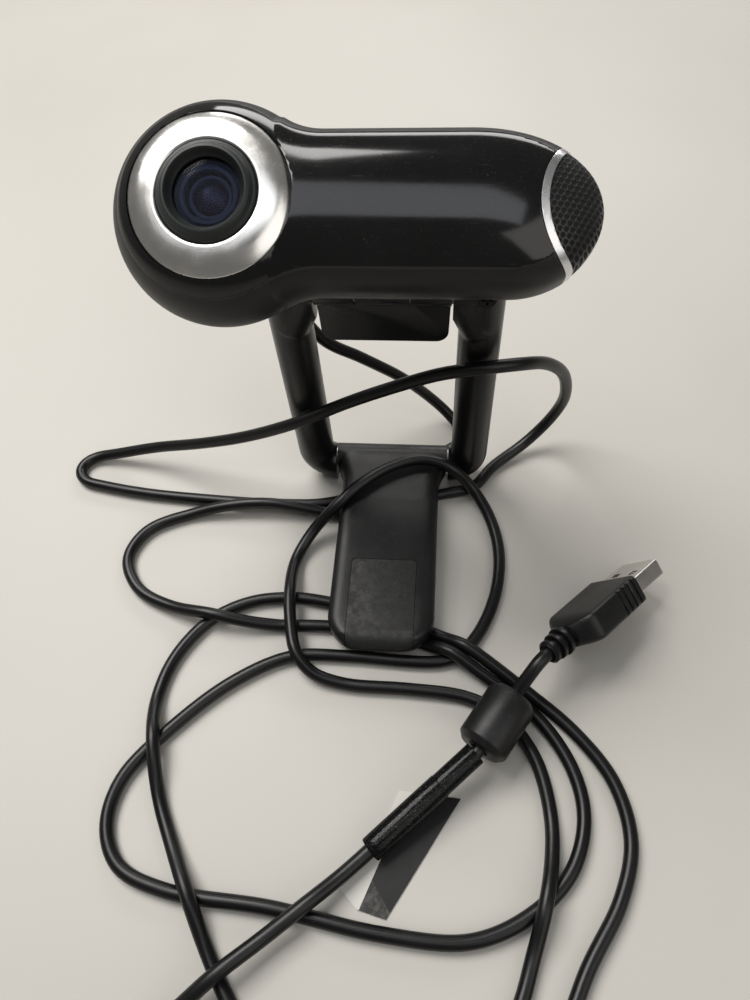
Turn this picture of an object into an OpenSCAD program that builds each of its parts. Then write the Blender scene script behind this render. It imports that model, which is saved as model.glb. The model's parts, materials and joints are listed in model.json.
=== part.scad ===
// Desktop webcam on a folding clip stand, with its USB lead.
// +X runs along the bar, -Y is the way the foot points, +Z is up.
// The origin is under the middle of the webcam and its stand, on the surface that it stands on.

/* [Camera head] */
// Tilt of the lens axis above level
head_tilt = 56; // [50:1:60]
// Largest radius of the round lens end
drum_r = 22.2; // [21.8:0.1:23]
// Half depth of the lens end's bulge
drum_bulge = 15.3; // [15:0.1:16]
// Height of the bar
bar_h = 31.6; // [31:0.2:34]
// Bar's front face, ahead of the lens plane
bar_front = 13; // [12.6:0.1:13.4]
// Bar's back face, behind the lens plane
bar_back = 10.4; // [10:0.1:10.6]
// Lens axis to the far end of the bar
bar_reach = 75.2; // [75:0.2:77]
// Length of the upper rounding at the bar's end, seen from the front
end_top = 26.5; // [25:0.5:28]
// Length of the lower rounding at the bar's end, seen from the front
end_bottom = 18.5; // [18:0.5:20]
// Length of the front rounding at the bar's end, seen from above
end_front = 24; // [22:0.5:25]
// Length of the back rounding at the bar's end, seen from above
end_back = 16; // [15:0.5:18]
// Wall of the plastic shells
wall = 1.6; // [1.4:0.1:1.8]
// Height of the seam between cover and housing, ahead of the lens plane
seam = 9.6; // [9.4:0.1:9.8]
// Gap between neighbouring trim pieces
trim_gap = 0.1; // [0.05:0.05:0.15]

/* [Lens] */
// Outer radius of the metal ring
ring_r = 15.9; // [15.5:0.1:16.2]
// Inner radius of the metal ring
ring_bore_r = 9.75; // [9.6:0.05:10.2]
// Radius of the mouth of the lens recess
mouth_r = 7.6; // [7.5:0.1:8]
// Radius of the lens window
window_r = 6.8; // [6.6:0.1:7]
// Thickness of the lens window
window_t = 0.6; // [0.5:0.1:0.8]
// Bore of the ring that keeps the window in
retainer_bore_r = 4.8; // [4.7:0.1:5.2]
// Radius of the focusing lens barrel
barrel_r = 4.2; // [3.8:0.1:4.6]
// Length of the focusing lens barrel
barrel_len = 7.4; // [7:0.1:7.6]
// Travel of the focusing lens
focus_travel = 0.4; // [0.2:0.1:0.5]
// Side of the square focus motor
motor_side = 12; // [11:0.5:12.5]
// Side of the square camera board
camera_board_side = 20; // [19.5:0.5:21]

/* [Grille] */
// Radius of the curved cut that the grille fills
grille_r = 16; // [15.6:0.2:16.4]
// Centre of that cut, past the bar's end
grille_past = 2.7; // [2.4:0.1:3]
// Width of the bright trim
trim_w = 1.5; // [1.2:0.1:1.8]
// Thickness of the grille's sheet
grille_t = 1.2; // [1:0.1:1.5]
// Radius of a grille hole
hole_r = 0.6; // [0.5:0.05:0.7]
// Spacing of the grille holes
hole_pitch = 2.4; // [2.2:0.1:3]

/* [Inside the bar] */
// Length of the main board
board_len = 29; // [26:1:30]
// Width of the main board
board_w = 18; // [16:1:19]
// Thickness of the boards
board_t = 1; // [0.8:0.1:1.4]
// Radius of the microphone capsule
mic_r = 3; // [2.5:0.1:3.5]
// Length of the microphone capsule
mic_len = 2.7; // [2.4:0.1:3]
// Radius of the housing screws
screw_r = 0.9; // [0.8:0.05:1]
// Radius of the board screws
board_screw_r = 0.7; // [0.6:0.05:0.8]

/* [Hinge under the head] */
// Height of the upper hinge above the surface
hinge_z = 75.2; // [73:0.2:78]
// Upper hinge behind the lens plane
hinge_back = 16.8; // [16.6:0.1:18]
// Upper hinge below the lens axis
hinge_drop = 7.8; // [7.4:0.1:8.4]
// Radius of the hinge barrels
knuckle_r = 5; // [4.8:0.1:5.1]
// Radius of the steel axle
axle_r = 1.5; // [1.3:0.1:1.8]
// Radial running clearance of the pins
run_gap = 0.05; // [0.03:0.01:0.08]
// Width of the head's own barrel
head_knuckle_w = 12; // [10:0.5:13]
// Room for a friction washer
washer_t = 0.4; // [0.35:0.05:0.6]

/* [Front lip] */
// Width of the lip
lip_w = 31; // [30:0.2:31.4]
// Lip's lower edge below the hinge
lip_drop = 16.4; // [15:0.2:18]
// Thickness of the lip
lip_t = 2.4; // [2:0.1:2.8]
// Thickness of the rubber liner behind the lip
liner_t = 0.8; // [0.6:0.1:1]

/* [Legs] */
// Spacing of the legs
leg_gap = 45; // [44.8:0.1:46]
// Radius of a leg
leg_r = 5.2; // [5.1:0.05:5.4]
// Forward lean of the legs
leg_lean = 2.6; // [1:0.1:3]
// Radius of the bend at the bottom
bend_r = 6.8; // [6.4:0.1:7.2]
// Depth of the flat that a leg rests on
flat_depth = 0.2; // [0.15:0.05:0.3]
// Radius of the screws that lock the axle
lock_screw_r = 1; // [0.8:0.1:1.1]

/* [Foot] */
// Foot hinge to the tip of the foot
foot_len = 61; // [60:0.5:62]
// Width of the foot
foot_w = 28; // [27:0.2:28.4]
// Width of the foot's flat top
foot_top_w = 19; // [18.6:0.1:20]
// Radius of the corners at the foot's tip
foot_corner_r = 9; // [8:0.5:9.5]
// Foot's underside above the surface
foot_clear = 3.7; // [3.6:0.05:3.8]
// Thickness of the foot at its tip
foot_t = 5.6; // [5.4:0.1:6]
// Height of the foot hinge
foot_hinge_z = 7.6; // [7.5:0.1:7.8]
// Radius of the foot's hinge barrel
foot_knuckle_r = 3.7; // [3.5:0.05:3.75]
// Width of the foot's hinge barrel
foot_knuckle_w = 32.4; // [32:0.1:32.6]
// Radius of the foot hinge pins
foot_pin_r = 1.3; // [1.1:0.1:1.5]
// Length of the rubber pad along the foot
pad_len = 24.5; // [20:0.5:28]
// Width of the rubber pad
pad_w = 17.4; // [16:0.2:18]
// Thickness of the rubber pad
pad_t = 0.6; // [0.4:0.1:0.8]

/* [USB lead] */
// Diameter of the lead
cord_d = 3.3; // [3.2:0.05:3.35]
// Length of the strain relief behind the head
gland_len = 11; // [10:0.5:12]
// Diameter of the ferrite bead's case
bead_d = 12.4; // [12:0.1:12.6]
// Length of the ferrite bead's case
bead_len = 15.5; // [15:0.5:16]
// Wall of the ferrite bead's case
bead_wall = 1.2; // [1:0.1:1.6]
// Diameter of the clear sleeve beside the bead
sleeve_d = 5.8; // [5.4:0.1:6]
// Length of the clear sleeve
sleeve_len = 33; // [31:0.5:34]
// Width of the USB plug's metal shell
usb_w = 12; // [12]
// Height of the USB plug's metal shell
usb_h = 4.5; // [4.5]
// Length of the USB plug's metal shell that shows
usb_len = 11.8; // [11.8]
// Width of the plug's moulded grip
grip_w = 16; // [15.6:0.1:16.4]
// Thickness of the plug's moulded grip
grip_h = 7.4; // [7:0.1:7.8]
// Length of the plug's moulded grip
grip_len = 22; // [21:0.5:23]

/* [Hidden] */
$fn = 64;
eps = 0.01;
fit = 0.05;                         // clearance of a fixed pin or screw in its hole
lens_x = -31.1;                     // lens axis, from the middle of the legs
section_mid = 2;                    // fullest part of the bar's section, ahead of the lens plane
section_power = 2.5;                // how square the bar's section is
end_lift = 0.2;                     // how far the end's roundings start outside the section
grille_x = bar_reach + grille_past;
drum_mid = 1.5;                     // fullest part of the lens end
leg_z = leg_r - flat_depth;         // height of the tube's centre where a leg rests
hinge_y = -(hinge_z - leg_z) * tan(leg_lean);
tip_top = foot_clear + foot_t;      // top of the foot near its tip
heel_top = foot_hinge_z + foot_knuckle_r - 0.1;
leg_in = foot_knuckle_w / 2 + washer_t;          // inner end of a leg's lower bend
leg_knuckle_in = lip_w / 2 + washer_t;           // inner face of a leg's upper knuckle
shift_x = -(2 * lens_x + bar_reach - drum_r) / 2;
back_reach = hinge_y - (hinge_back + drum_mid) * cos(head_tilt) + hinge_drop * sin(head_tilt)
  + norm([drum_bulge * cos(head_tilt), drum_r * sin(head_tilt)]);  // back of the head, behind the foot hinge
shift_y = (foot_len - back_reach) / 2;
cord_r = cord_d / 2;

// Route of the lead from the stand's middle: down behind the legs and under the foot hinge.
drop_points = [[-31, 14.5, 68], [-27, 15, 56], [-19, 12.5, 43], [-9, 15.5, 33], [2, 19, 21.5],
  [10.5, 21, 10.8], [15.8, 20.2, 5], [19.4, 17.2, 2.3], [20.9, 13.5, 1.7], [20, 10.6, 1.7], [17, 8, 1.7]];
// Out to the left, back across the fronts of both legs, and down to the right of them.
behind_points = [[17, 8, 1.7], [10, 3, 1.7], [0, -4.5, 1.7], [-10, -10.5, 1.7], [-20, -13.9, 1.7],
  [-36, -14.6, 1.7], [-56, -13.8, 1.7], [-75, -12.3, 1.7], [-89, -10, 1.7], [-95.2, -8.4, 1.7],
  [-98, -5, 1.7], [-96.9, -1.1, 1.8], [-93.4, 0.9, 2.1], [-88, 1.1, 3.3], [-73, 0.6, 8], [-57, -2.6, 14.6],
  [-41, -6.3, 23],
  [-25, -8.9, 32.6], [-10, -8.2, 40.7], [4, -8.2, 47.7], [14, -9, 52.7], [23, -9.8, 55.5], [32, -7.2, 54.5],
  [39.5, -0.8, 48.6], [45.2, 4.8, 40], [48.2, 9, 30], [49, 12.6, 19], [45.8, 12.6, 10], [39.5, 9, 4],
  [30, 1.5, 1.7], [24.5, -6, 1.7], [14, -9.4, 1.7]];
// Under the foot, round to the left, under the foot again, and once round the front.
around_points = [[14, -9.4, 1.7], [0, -13.5, 1.7], [-14, -17.4, 1.7], [-24, -17.2, 3.6],
  [-36, -16.4, 4.7], [-48, -17.2, 3.8], [-60, -19.6, 1.7], [-71, -25.5, 1.7], [-74.5, -35, 1.7],
  [-69, -44.6, 1.7], [-58, -50, 2.6], [-46, -52.8, 5.1], [-37, -53.8, 3.6], [-27, -53.8, 1.7],
  [-13, -53.4, 1.7], [0, -55, 1.7], [9, -56.4, 1.7], [13, -57.8, 2.2], [18, -60.1, 5.3],
  [25, -64.3, 3.6], [34, -70, 1.7], [42, -77.5, 1.7], [48, -88, 1.7], [49.5, -98, 1.7],
  [46, -109, 1.7], [37, -118, 1.7], [24, -124, 1.7], [5, -124, 1.7], [-20, -120.6, 1.7],
  [-44, -118.8, 1.7], [-56, -114.5, 1.7], [-61, -106, 1.7], [-60, -95.5, 1.7],
  [-50, -82, 1.7], [-37, -69.8, 1.7], [-23, -62.4, 1.7], [-8, -61.6, 1.7], [8, -62.2, 1.7],
  [16, -61.8, 1.7], [20.6, -59.8, 1.7], [26, -53, 1.7], [30.5, -41, 1.7], [31.5, -28, 1.7], [29, -17, 2.2]];
// Over the hinge end of the foot, down its left side, round the front and once more about.
over_points = [[29, -17, 2.2], [24.5, -9.6, 4.5], [17, -6.6, 12], [9, -5.2, 13.3], [0, -8, 13.2],
  [-9, -14.5, 12], [-15, -20, 9.5], [-21, -24.5, 4.5], [-25.5, -33, 2], [-25.4, -44.5, 5.1],
  [-24, -54, 5.1], [-21.4, -62.7, 5.2], [-17, -67, 3], [-8, -69.2, 1.7], [8, -69.6, 1.7],
  [23, -71, 1.7], [32, -75.5, 1.7], [39, -85, 1.7], [42, -98, 1.7], [41.5, -107, 3.2],
  [40, -114.2, 5.1], [39.1, -117.6, 5.1], [37, -125, 2.2], [32, -138, 1.7], [20, -150, 1.7], [2, -155, 1.7],
  [-16, -149, 1.7], [-26, -138, 1.7], [-32.5, -129, 2], [-37.8, -119.6, 5.1], [-44, -110, 2.4],
  [-50, -99, 2], [-53.4, -87, 5.3], [-56, -76, 2], [-54, -64.5, 1.7], [-47, -53.6, 1.7],
  [-37, -47.4, 1.7], [-25, -45.4, 1.7], [-13, -46.6, 1.7], [0, -49.6, 1.7], [11, -53, 1.7],
  [16.7, -55.5, 2.4], [21, -57.9, 5], [22.7, -58.8, 5.1], [30, -63.4, 3.4], [39, -69.8, 1.7], [49, -78.5, 1.7],
  [57, -89.5, 1.7], [59.5, -102, 1.7], [56, -114, 1.7], [48, -127, 1.7], [38, -146, 1.7],
  [20, -163, 1.7], [-8, -169, 1.7], [-31, -163.5, 1.7], [-39.8, -157, 1.7], [-43.4, -150, 1.7]];
// Over the other turns to the sleeve and the ferrite bead.
end_points = [[-43.4, -150, 1.7], [-41.2, -144.6, 2], [-36.2, -140.4, 3.2], [-29, -134, 5.6], [-20, -126.6, 4.8],
  [-11.8, -119.8, 5.1], [-5, -113.8, 3.6]];

// Plug: back end of its strain relief, its heading, its droop and its roll.
plug_at = [41.2, -64, 15.2];
plug_turn = 46.5;
plug_pitch = 12.5;
plug_roll = -56;
plug_lead_in = 2.5;                 // straight lead behind the plug
relief_len = 7.5;
shell_hold = 7;                     // length of the metal shell inside the grip
shell_t = 0.3;

// Bead: its lower end, its heading and its rise towards the plug.
bead_at = [25.2, -85.8, 8.8];
bead_turn = 57;
bead_rise = 4;
bead_hole_r = 2.2;
core_bore_r = 2.5;
sleeve_turn = 42.7;
sleeve_rise = 9.4;
sleeve_bore_r = 2.3;
label_t = 0.4;
label_outline = [[7, -94], [21.5, -95], [16.5, -103], [5.5, -121], [-1, -119.5], [-7.5, -113.5],
  [1.5, -108]];

// ---- frames ----

// Everything is drawn about the middle of the stand and then moved to the row's origin.
module placed() { translate([shift_x, shift_y, 0]) children(); }

// The head is drawn upright: lens axis along -Y through the origin, bar towards +X.
module in_head() {
  placed() translate([0, hinge_y, hinge_z]) rotate([-head_tilt, 0, 0])
    translate([lens_x, -hinge_back, hinge_drop]) children();
}

// A point of the head, seen from the middle of the stand.
function from_head(p) = let (y = p[1] - hinge_back, z = p[2] + hinge_drop)
  [p[0] + lens_x, hinge_y + y * cos(head_tilt) + z * sin(head_tilt),
   hinge_z - y * sin(head_tilt) + z * cos(head_tilt)];

module at_hinge() { placed() translate([0, hinge_y, hinge_z]) children(); }
module at_foot_hinge() { placed() translate([0, 0, foot_hinge_z]) children(); }
module in_plug() { placed() translate(plug_at) rotate([plug_roll, plug_pitch, plug_turn]) children(); }
module in_bead() { placed() translate(bead_at) rotate([0, -bead_rise, bead_turn]) children(); }
module in_sleeve() { placed() translate(bead_at) rotate([0, -sleeve_rise, sleeve_turn]) children(); }

module both_sides() { children(); mirror([1, 0, 0]) children(); }
module along_x(len) { rotate([90, 0, 90]) linear_extrude(len) children(); }
module rod_x(r, x0, x1) { translate([x0, 0, 0]) rotate([0, 90, 0]) cylinder(r = r, h = x1 - x0); }
module tube_x(r, bore, x0, x1) {
  difference() { rod_x(r, x0, x1); rod_x(bore, x0 - 1, x1 + 1); }
}
// A rod along the lens axis between two distances ahead of the lens plane.
module rod_n(r, n0, n1) { rotate([90, 0, 0]) translate([0, 0, n0]) cylinder(r = r, h = n1 - n0); }
// A block centred on the lens axis between two distances ahead of the lens plane.
module block_n(w, h, n0, n1) { translate([-w / 2, -n1, -h / 2]) cube([w, n1 - n0, h]); }
// A turned piece about the lens axis: profile in [radius, distance ahead of the lens plane].
module turned(points) { rotate([90, 0, 0]) rotate_extrude() polygon(points); }
module turned_x(points) { rotate([90, 0, 90]) rotate_extrude() polygon(points); }
function arc(c, r, a0, a1, n = 6) = [for (k = [0:n]) let (a = a0 + (a1 - a0) * k / n) c + r * [cos(a), sin(a)]];

// ---- swept lead ----

function unit(v) = v / norm(v);
function heading(p, i) = unit((i < len(p) - 1 ? unit(p[i + 1] - p[i]) : [0, 0, 0])
  + (i > 0 ? unit(p[i] - p[i - 1]) : [0, 0, 0]));
function square_to(s, t) = unit(s - (s * t) * t);
function ring_sides(p) = [for (i = 0, s = square_to([0.3, 0.2, 1], heading(p, 0)); i < len(p);
  i = i + 1, s = square_to(s, heading(p, min(i, len(p) - 1)))) s];

module lead(p, n = 8) {
  sides = ring_sides(p);
  points = [for (i = [0:len(p) - 1], k = [0:n - 1])
    let (t = heading(p, i), s = sides[i], a = 360 * (k + 0.5) / n)
    p[i] + cord_r * (cos(a) * s + sin(a) * cross(t, s))];
  faces = concat([[for (k = [n - 1:-1:0]) k]],
    [for (i = [0:len(p) - 2], k = [0:n - 1])
      [i * n + k, i * n + (k + 1) % n, (i + 1) * n + (k + 1) % n, (i + 1) * n + k]],
    [[for (k = [0:n - 1]) (len(p) - 1) * n + k]]);
  polyhedron([for (q = points) q], [for (f = faces) [for (j = [len(f) - 1:-1:0]) f[j]]]);
}

// ---- the head's outer form, inset by i ----

function spow(v, p) = sign(v) * pow(abs(v), p);
function bar_section(i, n = 44) = [for (k = [0:n - 1])
  let (a = 360 * k / n, c = cos(a), s = sin(a),
       depth = c > 0 ? bar_front - section_mid : bar_back + section_mid)
  [-section_mid - (depth - i) * spow(c, 2 / section_power),
   (bar_h / 2 - i) * spow(s, 2 / section_power)]];

// Outline of the bar along X: below and above its middle it ends in quarter ovals of their own length.
function rounded_end(reach, mid, half, below, above, n = 8) = concat([[-1, mid - half]],
  [for (k = [0:n - 1]) let (a = 90 * k / n) [reach - below + below * sin(a), mid - half * cos(a)]],
  [for (k = [0:n]) let (a = 90 * k / n) [reach - above + above * cos(a), mid + half * sin(a)]],
  [[-1, mid + half]]);

module bar_form(i) {
  intersection() {
    along_x(bar_reach + 1) polygon(bar_section(i));
    rotate([90, 0, 0]) linear_extrude(2 * bar_h, center = true)
      polygon(rounded_end(bar_reach - i, 0, bar_h / 2 + end_lift - i, end_bottom - i, end_top - i));
    mirror([0, 1, 0]) linear_extrude(2 * bar_h, center = true)
      polygon(rounded_end(bar_reach + end_lift - i, (bar_front - bar_back) / 2,
        (bar_front + bar_back) / 2 + end_lift - i, end_back - i, end_front - i));
  }
}

// Radius of the lens end at a distance n ahead of the lens plane.
function drum_radius(n, i) =
  (drum_r - i) * sqrt(max(0, 1 - pow((n - drum_mid) / (drum_bulge - i * 0.5), 2)));

module drum_form(i, front) {
  back = -bar_back + i;
  steps = 14;
  turned(concat([[0, back]],
    [for (k = [0:steps]) let (n = back + (front - back) * k / steps) [drum_radius(n, i), n]],
    [[0, front]]));
}

module head_form(i, front) {
  union() {
    bar_form(i);
    drum_form(i, front);
  }
}

module grille_cut(r) {
  translate([grille_x, 0, 0]) rotate([90, 0, 0])
    cylinder(r = r, h = 3 * bar_h, center = true, $fn = 128);
}

module ahead_of_seam(gap) { translate([-100, -100 - seam - gap, -50]) cube([300, 100, 100]); }

// ---- camera head ----

seat_r = ring_r + trim_gap;         // bore that the ring drops into
cover_front = 12.3;                 // where the lens end's curve stops
collar_r = seat_r + 1;
shelf_top = 8.5;                    // seat of ring and bezel
shelf_t = 1;
shelf_r = 11.4;
back_inside = -bar_back + wall;
post_at = camera_board_side / 2 - 2;
post_r = 1.4;
boss_r = 1.9;
cover_boss_end = 0;                 // where a cover boss meets a housing column
screw_places = [[-12.1, 0], [22.5, 7], [22.5, -7]];
screw_head_r = 1.6 * screw_r;
screw_seat = -bar_back + 2.5;       // where a housing screw's head stops
column_start = back_inside - 0.2;
board_x = 27.5;                     // near end of the main board
board_n = -3;                       // back face of the main board
board_posts = [[board_x + 9, 6.4], [board_x + 9, -6.4], [board_x + board_len - 3, 0]];
gland_x = -1;
gland_z = 3.5;
gland_r = 2.6;                      // strain relief where it passes the housing
bulkhead_x = 58.4;
grommet_r = mic_r + 1.2;

module at_places(list) { for (p = list) translate([p[0], 0, p[1]]) children(); }
module board_corners() { for (x = [-post_at, post_at], z = [-post_at, post_at]) translate([x, 0, z]) children(); }

module front_cover() {
  color([0.03, 0.03, 0.032]) in_head() difference() {
    union() {
      difference() {
        intersection() {
          head_form(0, cover_front);
          ahead_of_seam(0);
        }
        head_form(wall, seam + 0.4);
      }
      rod_n(collar_r, shelf_top - shelf_t, seam + 0.6);
      board_corners() rod_n(post_r, board_t, shelf_top - shelf_t + eps);
      at_places([screw_places[0]]) rod_n(boss_r, cover_boss_end, shelf_top - shelf_t + eps);
      intersection() {
        at_places([screw_places[1], screw_places[2]]) rod_n(boss_r, cover_boss_end, bar_front);
        head_form(wall / 2, cover_front);
      }
    }
    rod_n(seat_r, shelf_top, 40);
    rod_n(shelf_r, shelf_top - 2 * shelf_t, 40);
    board_corners() rod_n(board_screw_r + fit, 0, 5);
    at_places(screw_places) rod_n(screw_r + fit, -1, 6);
    grille_cut(grille_r + trim_gap);
  }
}

module rear_housing() {
  column_top = cover_boss_end - trim_gap;
  color([0.05, 0.05, 0.052]) in_head() difference() {
    union() {
      difference() {
        head_form(0, seam + 1);
        head_form(wall, seam + 2);
      }
      at_places(screw_places) rod_n(boss_r, column_start, column_top);
      at_places(board_posts) rod_n(post_r, column_start, board_n);
      intersection() {
        bar_form(wall / 2);
        translate([bulkhead_x, -bar_h, -bar_h]) cube([wall, 2 * bar_h, 2 * bar_h]);
      }
    }
    ahead_of_seam(-trim_gap);
    at_places(screw_places) {
      rod_n(screw_r + fit, -20, 5);
      rod_n(screw_head_r + fit, -20, screw_seat);
    }
    at_places(board_posts) rod_n(board_screw_r + fit, board_n - 3.5, 0);
    translate([gland_x, 0, gland_z]) rod_n(gland_r + fit, -20, 0);
    rod_x(grommet_r, bulkhead_x - 1, bulkhead_x + 5);
    grille_cut(grille_r + trim_gap);
  }
}

ring_top = 13.9;                    // highest part of the ring, ahead of the lens plane
flange_top = shelf_top + 2;

module lens_ring() {
  outer = [ring_r, 11.9];
  inner = [ring_bore_r + 0.7, ring_top];
  color([0.75, 0.75, 0.76]) in_head() turned(concat(
    [[ring_r, shelf_top], outer],
    [for (k = [1:7]) let (f = k / 8) outer + (inner - outer) * f + [0.25, 0.45] * sin(180 * f)],
    [inner, [ring_bore_r + 0.2, ring_top - 0.1], [ring_bore_r, ring_top - 0.4],
     [ring_bore_r, flange_top + trim_gap], [ring_r - 1.6, flange_top + trim_gap],
     [ring_r - 1.6, shelf_top]]));
}

window_n = 13.2;                    // front face of the window
window_lip = 0.2;                   // bezel's lip in front of the window
mouth_n = 15.35;                    // rim of the lens recess

module lens_bezel() {
  r = ring_bore_r - trim_gap;
  color([0.07, 0.08, 0.08]) in_head() turned([
    [ring_r - 1.7, shelf_top], [ring_r - 1.7, flange_top], [r, flange_top], [r, 13.9],
    [r - 0.25, 14.15], [r - 0.6, 14.25], [mouth_r + 0.7, mouth_n - 0.2], [mouth_r + 0.3, mouth_n],
    [mouth_r, mouth_n - 0.1], [mouth_r - 0.2, mouth_n - 0.5], [window_r - window_lip, window_n + 0.4],
    [window_r - window_lip, window_n], [window_r + fit, window_n], [window_r + fit, shelf_top]]);
}

module lens_window() {
  color([0.02, 0.03, 0.06]) in_head() rod_n(window_r, window_n - window_t, window_n);
}

// Ring pressed in behind the window, stepped towards the lens.
module window_retainer() {
  front = window_n - window_t - trim_gap;
  color([0.2, 0.2, 0.21]) in_head() turned([[retainer_bore_r, front - 0.9], [retainer_bore_r, front - 0.2],
    [retainer_bore_r + 0.8, front - 0.2], [retainer_bore_r + 0.8, front], [window_r, front],
    [window_r, front - 2], [window_r - 0.8, front - 2], [window_r - 0.8, front - 0.9]]);
}

barrel_n = 3.4;                     // back end of the barrel at rest
lens_seat = barrel_n + barrel_len - 0.8;
lens_r = barrel_r - 0.7;

module lens_barrel() {
  color([0.08, 0.08, 0.09]) in_head() difference() {
    rod_n(barrel_r, barrel_n, barrel_n + barrel_len);
    rod_n(lens_r, lens_seat, 20);
    rod_n(lens_r - 1.2, 0, 20);
  }
}

module front_lens() {
  r = lens_r - 0.03;
  color([0.1, 0.08, 0.2]) in_head() turned(concat([[0, lens_seat], [r, lens_seat], [r, lens_seat + 0.5]],
    [for (k = [1:7]) let (a = 90 * k / 8) [r * cos(a), lens_seat + 0.5 + 0.9 * sin(a)]],
    [[0, lens_seat + 1.4]]));
}

filter_n = 2.6;                     // back face of the infrared filter
motor_top = shelf_top - 0.2;

module autofocus_coil() {
  color([0.2, 0.2, 0.21]) in_head() difference() {
    block_n(motor_side, motor_side, board_t, motor_top);
    block_n(8.2, 8.2, 0, filter_n + 0.3);
    rod_n(3, 0, 20);
    rod_n(barrel_r + run_gap, barrel_n - 0.2, 20);
  }
}

module ir_filter() { color([0.5, 0.75, 0.7]) in_head() block_n(8, 8, filter_n, filter_n + 0.3); }
module image_sensor() { color([0.25, 0.2, 0.3]) in_head() block_n(7, 6, board_t, board_t + 0.9); }

module camera_board() {
  color([0.05, 0.3, 0.15]) in_head() difference() {
    block_n(camera_board_side, camera_board_side, 0, board_t);
    board_corners() rod_n(board_screw_r + fit, -1, 2);
  }
}

module main_board() {
  color([0.05, 0.3, 0.15]) in_head() difference() {
    translate([board_x + board_len / 2, 0, 0]) block_n(board_len, board_w, board_n, board_n + board_t);
    at_places(board_posts) rod_n(board_screw_r + fit, board_n - 1, board_n + 2);
  }
}

board_face = board_n + board_t;
connector_x = board_x + 2.2;
connector_l = 4;
connector_h = 2.6;
chip_side = 9;
chip_x = board_x + 17;
small_chip_x = board_x + 24;
flex_w = 6;
flex_start = camera_board_side / 2 - 4;
flex_bend = camera_board_side / 2 + 2;

module board_chips() {
  color([0.08, 0.08, 0.08]) in_head() {
    translate([chip_x, 0, 0]) block_n(chip_side, chip_side, board_face, board_face + board_t);
    translate([small_chip_x, 0, 0.65 * chip_side])
      block_n(chip_side / 2, chip_side / 3, board_face, board_face + board_t);
    translate([connector_x, 0, 0]) block_n(connector_l, 1.5 * connector_l, board_n - connector_h, board_n);
  }
}

module flex_cable() {
  t = 0.2;
  near = board_x - 3.5;
  far = board_x + 4;
  color([0.7, 0.45, 0.1]) in_head() linear_extrude(flex_w, center = true) polygon([[flex_start, 0],
    [flex_bend, 0], [near, -board_face - t], [far, -board_face - t], [far, -board_face],
    [near, -board_face], [flex_bend, t], [flex_start, t]]);
}

module inner_lead() {
  color([0.02, 0.02, 0.02]) in_head() lead([[gland_x, -back_inside - 1.1, gland_z],
    [gland_x, -back_inside - 2.2, gland_z], [gland_x + 5, 5.2, 2], [gland_x + 13, 4.6, 0.5],
    [connector_x - 8, 4.7, 0], [connector_x - connector_l / 2 - 0.1, 4.7, 0]]);
}

module board_screws() {
  color([0.6, 0.6, 0.6]) in_head() {
    board_corners() {
      rod_n(2 * board_screw_r, -0.8, 0);
      rod_n(board_screw_r, -0.8, 4);
    }
    at_places(board_posts) {
      rod_n(2 * board_screw_r, board_face, board_face + 0.8);
      rod_n(board_screw_r, board_n - 3, board_face + 0.8);
    }
  }
}

module housing_screws() {
  color([0.3, 0.3, 0.3]) in_head() at_places(screw_places) difference() {
    union() {
      rod_n(screw_head_r, screw_seat - 1.1, screw_seat);
      rod_n(screw_r, screw_seat - 1, 5);
    }
    block_n(2.2 * screw_r, 0.3, screw_seat - 2, screw_seat - 0.6);
    block_n(0.3, 2.2 * screw_r, screw_seat - 2, screw_seat - 0.6);
  }
}

mic_x = bulkhead_x + wall / 2 - mic_len / 2;

module microphone() { color([0.6, 0.6, 0.58]) in_head() rod_x(mic_r, mic_x, mic_x + mic_len); }

module microphone_grommet() {
  color([0.1, 0.1, 0.1]) in_head() {
    tube_x(grommet_r - 0.02, mic_r + 0.02, mic_x - 0.2, mic_x + mic_len + 0.2);
  }
}

module grille_trim() {
  color([0.7, 0.7, 0.72]) in_head() difference() {
    intersection() {
      bar_form(0);
      grille_cut(grille_r);
    }
    bar_form(wall);
    grille_cut(grille_r - trim_w);
  }
}

module mic_grille() {
  reach = grille_r - trim_w - trim_gap;
  hole_edge = 1.4;
  color([0.02, 0.02, 0.02]) in_head() difference() {
    intersection() {
      bar_form(0.2);
      grille_cut(reach);
    }
    bar_form(0.2 + grille_t);
    for (i = [0:4], j = [-4:4])
      let (x = bar_reach - 3.2 - i * hole_pitch * 0.87, z = (j + (i % 2) / 2) * hole_pitch)
      if (norm([x - grille_x, z]) < reach - hole_edge
          && norm([(x - bar_reach + end_top) / (end_top - 2 * hole_edge), z / (bar_h / 2 - 2 * hole_edge)]) < 1)
        translate([x, 0, z]) rod_n(hole_r, 2, 20);
  }
}

module cord_gland() {
  tip = -bar_back - gland_len;
  root = -bar_back - 0.05;
  ring = (gland_len - 2) / 8;
  color([0.03, 0.03, 0.03]) in_head() translate([gland_x, 0, gland_z]) turned(concat(
    [[0, tip], [cord_r + 0.5, tip]],
    [for (k = [0:3]) let (n = tip + 1 + 2 * k * ring, r = cord_r + 0.75 + 0.2 * k)
      each [[r, n], [r, n + ring], [r - 0.4, n + ring], [r - 0.4, n + 2 * ring]]],
    [[gland_r + 0.8, root - 1], [gland_r + 0.8, root], [gland_r, root], [gland_r, back_inside + fit],
     [gland_r + 0.9, back_inside + fit], [gland_r + 0.9, back_inside + 1], [0, back_inside + 1]]));
}

// Back of the bar at a height z above the lens axis.
function bar_back_at(z) = -section_mid + (bar_back + section_mid)
  * pow(1 - pow(abs(z) / (bar_h / 2), section_power), 1 / section_power);

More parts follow.
